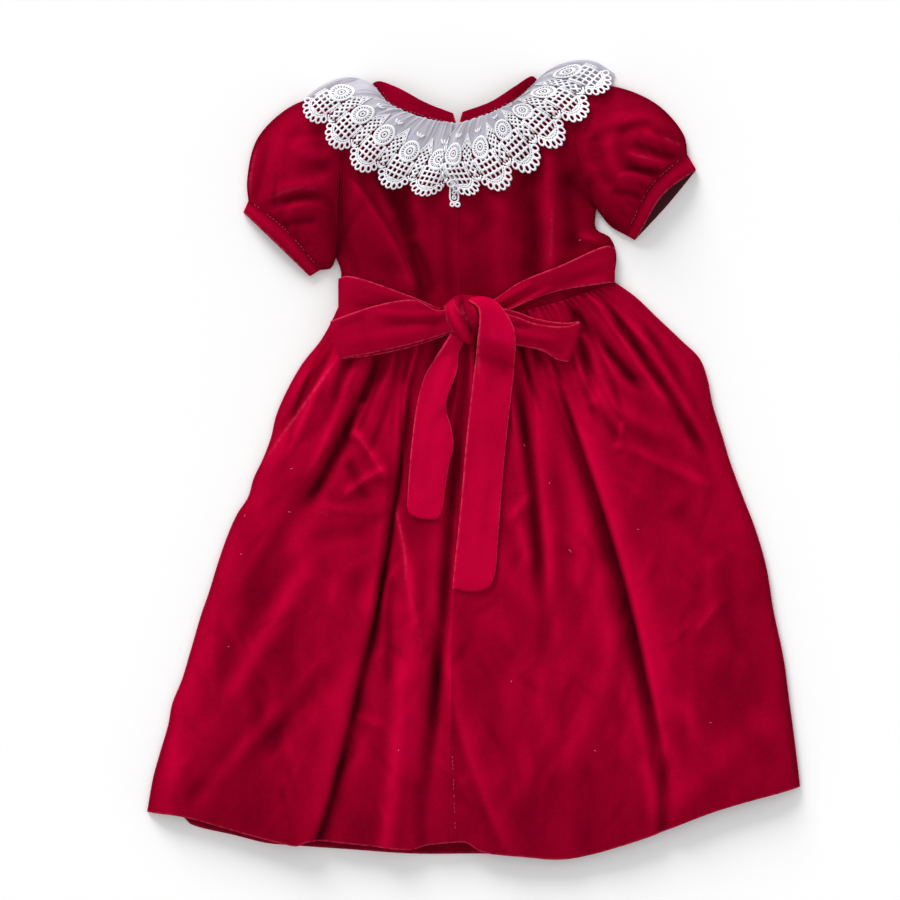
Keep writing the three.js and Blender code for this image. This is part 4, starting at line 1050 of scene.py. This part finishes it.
# One repeat of a traditional guipure border: a fan of edge loops, a tape with a row of holes, a checked net
# with knots, a ringed rosette over it and a pointed net at each side of the rosette
def laceRepeat():
    parts = []
    fan, rosette, half = lace["fan"], lace["rosette"], collar["repeat"] / 2
    outer, inner = lace["tapeAt"]
    pitch, spread, top = lace["netPitch"], lace["loopSpread"], lace["netTop"]

    def cord(points, width, high=0.8, closed=False):
        parts.append(cordOutline(points, width, high, closed))

    def around(centre, radius, degrees):
        angle = math.radians(degrees)
        return centre[0] + radius * math.cos(angle), centre[1] + radius * math.sin(angle)

    def spokes(centre, near, far, angles, width=0.9):
        for degrees in angles:
            cord([around(centre, near, degrees), around(centre, far, degrees)], width, 0.7)

    def net(outline, origin, step, width, turn):
        for degrees in (turn, turn + 90):
            way = np.array(around((0, 0), 1, degrees))
            aside = np.array([-way[1], way[0]])
            for k in range(-7, 8):
                middle = np.array(origin) + aside * step * k
                ends = clipped(middle - 30 * way, middle + 30 * way, outline)
                if ends:
                    cord(line(*ends, 4), width, 0.7)

    for k in range(lace["loops"]):
        degrees = -90 - spread + (2 * k + 1) * spread / lace["loops"]
        loop = circle(around(fan, lace["loopAt"], degrees), lace["loopLong"], 14, 0, 360,
                      lace["loopSquash"], math.radians(degrees))
        cord(loop, 1.45, 1.0, True)
    for radius in (outer, inner):
        cord(circle(fan, radius, 24, -90 - spread - 5, -90 + spread + 5), 1.15, 0.8)
    spokes(fan, inner, outer, np.linspace(-90 - spread, -90 + spread, 14))
    hanging = [circle(fan, inner, 16, -180, 0), [(inner, top), (-inner, top)]]
    net(np.vstack(hanging), (0, lace["netFrom"]), pitch, 1.5, 0)
    for x in (-pitch, 0, pitch):
        for k in range(3):
            cord(circle((x, lace["netFrom"] + k * pitch), 0.8, 6), 1.5, 0.95, True)
    for side in (-1, 1):
        for x in (inner, outer):
            cord(line((side * x, fan[1] - 1), (side * x, top), 3), 1.1)
        for y in np.arange(fan[1] + 1, top, lace["rungStep"]):
            cord([(side * inner, y), (side * outer, y)], 0.9, 0.7)
    for radius, width, steps, high in lace["rings"]:
        cord(circle(rosette, radius, steps), width, high, True)
    spokes(rosette, *lace["spokes"], np.linspace(0, 342, 20), 1.3)

    # The narrow foot between two fans, then the point over it
    foot = [(half + x, y) for x, y in lace["foot"]] + [(half - x, y) for x, y in lace["foot"][:0:-1]]
    net(np.array(foot), (half, 20), 3.3, 1.8, 45)
    for side in (-1, 1):
        cord([(half + side * 0.8, 10.2), (half + side * 3.9, 13.4)], 1.2, 0.9)
    peak = (half, lace["pointAt"])
    left, right = ((half + side * lace["pointHalf"], lace["pointFoot"]) for side in (-1, 1))
    net(np.array([left, right, peak]), (half, 33.6), 3.2, 1.6, 45)
    for corner, side in ((left, 1), (right, -1)):
        cord(line(corner, peak, 3), 1.1, 1.0)
        cord(line(np.array(corner) + [side * 2.0, 0], np.array(peak) + [0, -4.4], 3), 1.0, 0.9)
        for t in np.linspace(0.12, 0.86, 6):
            place = mix(np.array(corner), np.array(peak), t)
            cord([place, place + [side * 1.9, -0.5]], 0.8, 0.8)
    return joined(parts)


# A sprig of three small leaves worked in satin stitch, which stands above a rosette
def sprig():
    parts = []
    t = np.linspace(0, 1, 6)
    for turn, long in lace["leaves"]:
        angle = math.radians(90 + turn)
        points = np.stack([1.2 * math.cos(angle) + t * long * math.cos(angle),
                           lace["leafFoot"] + 1.2 * math.sin(angle) + t * long * math.sin(angle)], -1)
        parts.append(cordOutline(points, 0.4 + 2.0 * np.sin(math.pi * t) ** 0.8, 0.8, False))
    parts.append(cordOutline(line((0, 40.6), (0, 43.6)), 0.6, 0.6, False))
    return joined(parts)


# The end of the border, turned on edge at the centre back: a narrow strip of knots with two loops
def collarCurl():
    outline = border([(-17.5, 224), (-18.6, 214), (-18.2, 206), (-15.2, 204.4), (-12.4, 206), (-12.6, 214),
                      (-13.6, 224), (-17.5, 224)])
    paths = [along(outline, np.linspace(0, 1, 26))]
    paths += [circle((-17, 202.8), 1.5, 10), circle((-12.8, 202.6), 1.7, 10)]
    paths += [circle((-15.5, y), 1.3, 8) for y in (208.2, 212.2, 216.2, 220.2)]
    points, faces = joined([cordOutline(path, 1.6, 1.0, True) for path in paths])
    points[:, 2] += underlay(3, 1)(points[:, 0], points[:, 1])
    return points, faces


# A mesh from points in millimetres and faces
def openMesh(name, points, faces):
    mesh = bpy.data.meshes.new(name)
    mesh.from_pydata((points * mm).tolist(), [], faces)
    mesh.shade_smooth()
    return mesh


# The border's repeats and the sprigs side by side, carried on to the collar's surface: x becomes u, and
# the height over the scallops becomes v. What stands past the ends turns down.
def lacePiece(half, label, surface, depth, repeats):
    repeat, repeatFaces = laceRepeat()
    leaves, leafFaces = sprig()
    parts = []
    for k in range(repeats):
        parts.append((repeat + [k * collar["repeat"], 0, 0], repeatFaces))
        if k > 0:
            parts.append((leaves + [k * collar["repeat"], 0, 0], leafFaces))
    points, faces = joined(parts)
    u = (points[:, 0] + collar["repeat"] / 2) / (repeats * collar["repeat"])
    keep = np.clip(u, 0.002, 0.998)
    grid = surface(keep, 1 + (collar["scallop"] - points[:, 1]) / depth(keep), points[:, 2])
    over = (u - keep) * repeats * collar["repeat"]
    grid[:, 2] -= np.abs(over) * 0.6
    if half == "right":
        grid, faces = joined([(grid, faces), collarCurl()])
    mesh = openMesh("lace" + label, grid, faces)
    piece("lace" + label, mesh, "lace", "collar_" + half)


for half, label in halves.items():
    shared = collarSurface(half)
    lacePiece(half, label, *shared)
    organza(half, label, *shared)
    if half == "left":
        u, v = np.meshgrid(np.linspace(0.7, 1, 60), np.linspace(0, 1, 40))
        layDown(shared[0](u, v, 1.0 + 0 * u))
print("collar made")

# Bands, loops and tails lie as strips between a top and a bottom border or two side ones
sash = {
    "left": {
        "side": [(-108, 144), (-108, 112)],
        "centre": [(-16, 117), (-16, 97)],
        "top": [(-108, 144), (-101, 146), (-51, 130), (-29, 121), (-16, 117)],
        "bottom": [(-108, 112), (-60, 106), (-16, 97)],
        "creases": [(-30, 114, -106, 124, 1, 4, 6, -1.4, 0), (-26, 120, -92, 138, 1, 3, 4, 1.2, 0),
                    (-100, 146, -108, 118, 0, 4, 6, 1.0, 0)],
        "sideReach": 5,
    },
    "right": {
        "side": [(113, 168), (113, 141)],
        "centre": [(0, 119), (0, 99)],
        "top": [(113, 168), (107, 170), (69, 154), (37, 141), (16, 127), (0, 119)],
        "bottom": [(113, 141), (99, 139), (61, 132), (32, 120), (0, 101)],
        "creases": [(12, 119, 50, 141, 1, 2.0, 2.4, 2.6, 0), (16, 116, 58, 137, 0, 2.2, 2.4, -2.4, 0),
                    (20, 113, 66, 138, 1, 2.0, 2.6, 2.2, 0), (44, 128, 112, 150, 2, 4, 5, -1.2, 0),
                    (70, 146, 112, 160, 0, 5, 4, 1.2, 0)],
        "sideReach": 5,
    },
}
bow = {
    "loopOpen": 7, "endRound": 3.2, "knotHigh": 17, "knotFoot": 10.2,
    "left": {
        "side": [(-10, 122), (-12, 103)],
        "centre": [(-113, 110), (-112, 98), (-107, 84), (-104, 80)],
        "top": [(-10, 122), (-28, 118), (-46, 126), (-77, 122), (-113, 110)],
        "bottom": [(-12, 103), (-24, 99), (-46, 92), (-76, 85), (-104, 80)],
        "under": (0, -2.2),
        "creases": [(-14, 116, -84, 117, 2, 2.5, 3, 1.8, 0), (-18, 109, -76, 106, 0, 4, 4, -1.8, 0),
                    (-30, 104, -108, 92, 0, 5, 6, 1.4, 0), (-84, 112, -108, 104, 0, 4, 4, -1.0, 0)],
    },
    "right": {
        "side": [(3, 121), (3, 101)],
        "centre": [(84, 109), (82, 96), (75, 77)],
        "top": [(3, 121), (20, 117), (34, 113), (48, 108), (64, 105.5), (76, 106), (84, 109)],
        "bottom": [(3, 101), (20, 95), (36, 90), (54, 86), (66, 79), (75, 77)],
        "under": (0, 4.5),
        "creases": [(10, 108, 50, 103, 0, 2.5, 3, -1.8, 0), (12, 103, 70, 93, 0, 3, 4, 1.6, 0),
                    (48, 92, 74, 82, 0, 3, 4, -1.4, 0)],
    },
    "leftTail": {
        "side": [(-17, 106), (-20, 97), (-31, 80), (-39, 66), (-45, 44), (-49, 15), (-51.5, -14),
                 (-53, -37)],
        "centre": [(-3, 101), (-8, 93), (-12, 84), (-13, 71), (-22, 43), (-18, 26), (-16, 12), (-20, -7),
                   (-24, -34), (-26, -44)],
        "top": [(-17, 106), (-3, 101)],
        "bottom": [(-53, -37), (-51.5, -43), (-46, -46.5), (-38, -48), (-30, -48), (-26, -44)],
        "creases": [(-14, 98, -40, 20, 2, 5, 5, 2.0, 0), (-10, 76, -28, 34, 0, 3, 3, 2.2, 0),
                    (-30, 40, -40, -34, 0, 6, 6, -1.6, 0)],
        "tuck": 12, "tuckReach": 9, "brushed": 0.16,
    },
    "knot": {
        "side": [(-22, 124), (-29, 116), (-24, 106), (-17, 99)],
        "centre": [(4, 129), (9, 118), (8, 104), (3, 92)],
        "top": [(-22, 124), (-13, 130.5), (-6, 131), (4, 129)],
        "bottom": [(-17, 99), (-9, 93.5), (-2, 90.5), (3, 92)],
        "creases": [(-27, 128, -8, 88, -5, 2.4, 2.4, -2.6, 0), (-31, 124, -14, 92, -4, 3, 4, 2.0, 0),
                    (-20, 134, 0, 88, -5, 3.5, 3.5, 2.2, 0), (-10, 134, 4, 94, -4, 2, 2.2, -2.0, 0),
                    (-2, 134, 10, 100, -2, 2.4, 3, 1.6, 0)],
        "lines": [(-22, 127, -11, 96, -5, 0.7), (-10, 124, -4, 108, -1, 0.5), (-17, 129, -4, 112, -3, 0.3)],
    },
    "rightTail": {
        "side": [(-5, 126), (3.5, 119), (2.5, 91), (-0.4, 64), (-6, 14), (-10, -34), (-14.4, -76),
                 (-17, -103)],
        "centre": [(6, 129), (16, 126), (25, 117), (32, 103.6), (33.3, 91), (32, 67), (30, 50), (25, 5),
                   (20, -56), (17.5, -88), (15, -98)],
        "top": [(-5, 126), (0, 128.6), (6, 129)],
        "bottom": [(-17, -103), (-4, -105.5), (7, -104.5), (12.5, -102), (15, -98)],
        "creases": [(4, 134, 9, 40, 0, 3, 5, 1.6, 0), (22, 118, 26, 60, 0, 5, 5, -1.4, 0),
                    (10, 20, 0, -90, 0, 7, 7, 1.4, 0), (16, -10, 8, -70, 0, 4, 5, -1.0, 0)],
        "lines": [(3.5, 124, 4, 60, 0, 0.6)],
        "tuck": 5,
    },
}


# The plan of a strip from its own four borders
def stripPlan(shape):
    return plan(*(shape[k] for k in ("side", "centre", "top", "bottom")))


# A strip of two layers, laid over what is there. Its start may be tucked down into the knot, or go down
# over the dress's side
def lyingStrip(name, shape, node, finish="sash", reach=8):
    place = stripPlan(shape)
    lengthwise = border(shape["top"])["length"] > border(shape["side"])["length"]
    long = border(shape["top" if lengthwise else "side"])["length"]
    # The two layers meet along the strip's long edges, so across goes over its width
    across, down = closing(26), spaced(long, 1.5)
    t, s = np.meshgrid(across, down)
    xy, x, y = laidOut(place, s, t) if lengthwise else laidOut(place, t, s)
    rise, _ = creased(shape["creases"], x, y)
    z = underlay(reach, 3)(x, y) + cloth["sash"] / 2 + rise * 0.7
    z = z - shape.get("tuck", 0) * np.exp(-s * long / shape.get("tuckReach", 4))
    if "sideReach" in shape:
        lowest = edgeTop + cloth["laid"] + cloth["sash"] / 2
        z = mix(z, lowest, np.exp(-s * long / shape["sideReach"]))
    # Painted highlight lines on sharp creases
    lines = creaseHighlights(shape.get("lines", []), x, y)
    brushed = shape.get("brushed", 0.04)
    mesh, upper = doubled(name, np.dstack([xy, z]), cloth["sash"], across, down, lines, brushed)
    layDown(upper)
    piece(name, mesh, finish, node)


# A loop of the bow: out along the lower layer, round the end and back along the upper one
def bowLoop(half, label):
    shape = bow[half]
    place = stripPlan(shape)
    width = border(shape["top"])["length"]
    across = closing(24)
    endRound = bow["endRound"] / width
    run = np.linspace(0, 1 - endRound, round(width / 1.6))
    turn = np.radians(np.linspace(-75, 75, 9))
    out = np.r_[run, 1 - endRound + endRound * np.cos(turn), run[::-1]]
    level = np.r_[0 * run, 0.5 + 0.5 * np.sin(turn), 0 * run + 1]
    t, u = np.meshgrid(across, out)
    h = np.broadcast_to(level[:, None], u.shape)
    # The lower layer lies a little aside, most at half its length
    aside = (1 - h) * np.sin(math.pi * np.clip(u, 0, 1)) ** 0.5
    xy = place(u, t) + np.array(shape["under"]) * aside[..., None]
    _, xUnder, yUnder = laidOut(place, *np.meshgrid(out, np.linspace(0, 1, 7), indexing="ij"))
    bottom = underlay(11, 3)(xUnder, yUnder).max(1)[:, None]
    opening = bow["loopOpen"] * (0.05 + 0.95 * np.sin(math.pi * np.clip(u, 0, 1) ** 0.8))
    rise, _ = creased(shape["creases"], xy[..., 0], xy[..., 1])
    z = bottom + cloth["sash"] / 2 + h * (cloth["sash"] + opening * 0.8) + rise * h
    steps = np.linspace(0, 1, len(out))
    mesh, _ = doubled("bowLoop" + label, np.dstack([xy, z]), cloth["sash"] * 0.95, across, steps)
    layDown(np.dstack([xy, z + 1.3]))
    piece("bowLoop" + label, mesh, "loop", "bow_loop_" + half)


# The knot: cloth drawn over into a dome, with folds across it, closed underneath
def bowKnot(shape):
    u, v = np.meshgrid(closing(52), closing(52))
    xy, x, y = laidOut(stripPlan(shape), u, v)
    dome = (16 * u * (1 - u) * v * (1 - v)) ** 0.4
    rise, _ = creased(shape["creases"], x, y)
    low = bow["knotFoot"] + 0 * x
    high = low + cloth["sash"] * dome**0.2 + (bow["knotHigh"] + rise) * dome
    upper = np.dstack([xy, high])
    layDown(upper)
    # Painted shade and highlight: lighter on the folds' ridges, darker in their troughs and round the dome's
    # foot, and painted highlight lines on creases
    tone = np.clip(0.5 + 0.17 * rise - 0.25 * (1 - dome), 0, 1)
    sheenLine = creaseHighlights(shape["lines"], x, y)
    layers = overUnder(upper, np.dstack([xy, low]))
    mesh = gridMesh("bowKnot", layers, True, overUnder(tone, tone), overUnder(sheenLine, sheenLine))
    weldDoubles(mesh)
    piece("bowKnot", mesh, "loop", "bow_knot")


for half, label in halves.items():
    lyingStrip("sash" + label, sash[half], "sash_band_" + half, "loop", 11)
for half, label in halves.items():
    bowLoop(half, label)
lyingStrip("sashTailLeft", bow["leftTail"], "sash_tail_left")
bowKnot(bow["knot"])
lyingStrip("sashTailRight", bow["rightTail"], "sash_tail_right")
print("sash and bow made")

# Small things laid on the cloth: rows of stitches with gaps between them, and lint
topstitch = {"long": 2.0, "gap": 1.1, "width": 0.55, "high": 0.45, "skipped": 0.25}
lintSpecks = [
    (-146, -8, 20, 2.2), (-183, -46, 60, 1.6), (76, -72, -50, 3.0), (40, 12, -60, 2.6),
    (-186, -76, 15, 1.6), (60, -20, 70, 1.4), (30, -178, 80, 1.6), (130, -56, 10, 1.4),
    (-148, -42, -10, 2.4), (84, 174, 30, 1.6), (-196, -150, 30, 1.4), (-60, -232, 60, 1.4),
    (96, -232, -20, 1.6), (188, -210, 15, 1.4),
]


# Short cords lying on the cloth: each rests at the mean height of what is under it
def layThread(name, paths, finish, width, high):
    parts = []
    for path in paths:
        row, column = (np.rint(k).astype(int) for k in cellsOf(path[:, 0], path[:, 1]))
        points, faces = cordOutline(path, width, high, False)
        points[:, 2] += ground["z"][row, column].mean() + 0.1
        parts.append((points, faces))
    piece(name, openMesh(name, *joined(parts)), finish)


# Stitches along a border, a step from one to the next, some left out where the thread sank in
def stitchRow(table):
    edge = border(table)
    long, step = (size / edge["length"] for size in (topstitch["long"], topstitch["long"] + topstitch["gap"]))
    starts = [k for k in np.arange(step / 2, 1 - step, step) if random.random() > topstitch["skipped"]]
    return [along(edge, np.array([k, k + long])) for k in starts]


stitches = {
    "cuffStitchesLeft": [(-176, 204), (-149, 182), (-125, 154)],
    "cuffStitchesRight": [(167, 241), (140, 216), (124, 184)],
    "neckStitchesLeft": [(-73, 294), (-66, 284), (-37, 272.5), (-17, 267.5)],
    "neckStitchesRight": [(-8, 268.5), (10, 275.5), (35, 288.5), (47, 299.5)],
    "hemStitches": [(-17, -232), (-14.5, -298)],
}
for name, table in stitches.items():
    layThread(name, stitchRow(table), "thread", topstitch["width"], topstitch["high"])
specks = []
for x, y, turn, size in lintSpecks:
    angle = math.radians(turn)
    specks.append(np.array([[x, y], [x + size * math.cos(angle), y + size * math.sin(angle)]]))
layThread("lint", specks, "lint", 0.42, 0.35)
print("stitches made")

# Floor, light and camera
stage = {
    "floor": 9.0, "floorTop": -0.0004, "paper": (0.97, 0.97, 0.97, 1), "view": (-0.0188, 0.0072),
    "cameraHeight": 3.0, "frameWide": 0.72, "sky": 0.72, "sun": 2.55, "sunSoft": 30, "sunTurn": (-57, -45, 0),
}
corner = stage["floor"] / 2
square = [(x * corner, y * corner, stage["floorTop"]) for x, y in ((-1, -1), (1, -1), (1, 1), (-1, 1))]
floorMesh = bpy.data.meshes.new("floor")
floorMesh.from_pydata(square, [], [(0, 1, 2, 3)])
floor = bpy.data.objects.new("floor", floorMesh)
bpy.context.scene.collection.objects.link(floor)
paper, _, paperShader = shaderOf("whitePaper")
paperShader.inputs["Base Color"].default_value = stage["paper"]
paperShader.inputs["Roughness"].default_value = 0.9
floorMesh.materials.append(paper)

world = bpy.data.worlds.new("studio")
world.use_nodes = True
background = world.node_tree.nodes["Background"]
background.inputs["Color"].default_value = (1, 1, 1, 1)
background.inputs["Strength"].default_value = stage["sky"]
bpy.context.scene.world = world
sun = bpy.data.lights.new("softKey", "SUN")
sun.energy, sun.angle = stage["sun"], math.radians(stage["sunSoft"])
sunObject = bpy.data.objects.new("softKey", sun)
sunObject.rotation_euler = [math.radians(turn) for turn in stage["sunTurn"]]
bpy.context.scene.collection.objects.link(sunObject)

camera = bpy.data.cameras.new("camera")
camera.lens = camera.sensor_width * stage["cameraHeight"] / stage["frameWide"]
cameraObject = bpy.data.objects.new("camera", camera)
cameraObject.location = (*stage["view"], stage["cameraHeight"])
bpy.context.scene.collection.objects.link(cameraObject)
bpy.context.scene.camera = cameraObject
bpy.context.scene.view_settings.view_transform = "Standard"
print("stage made")
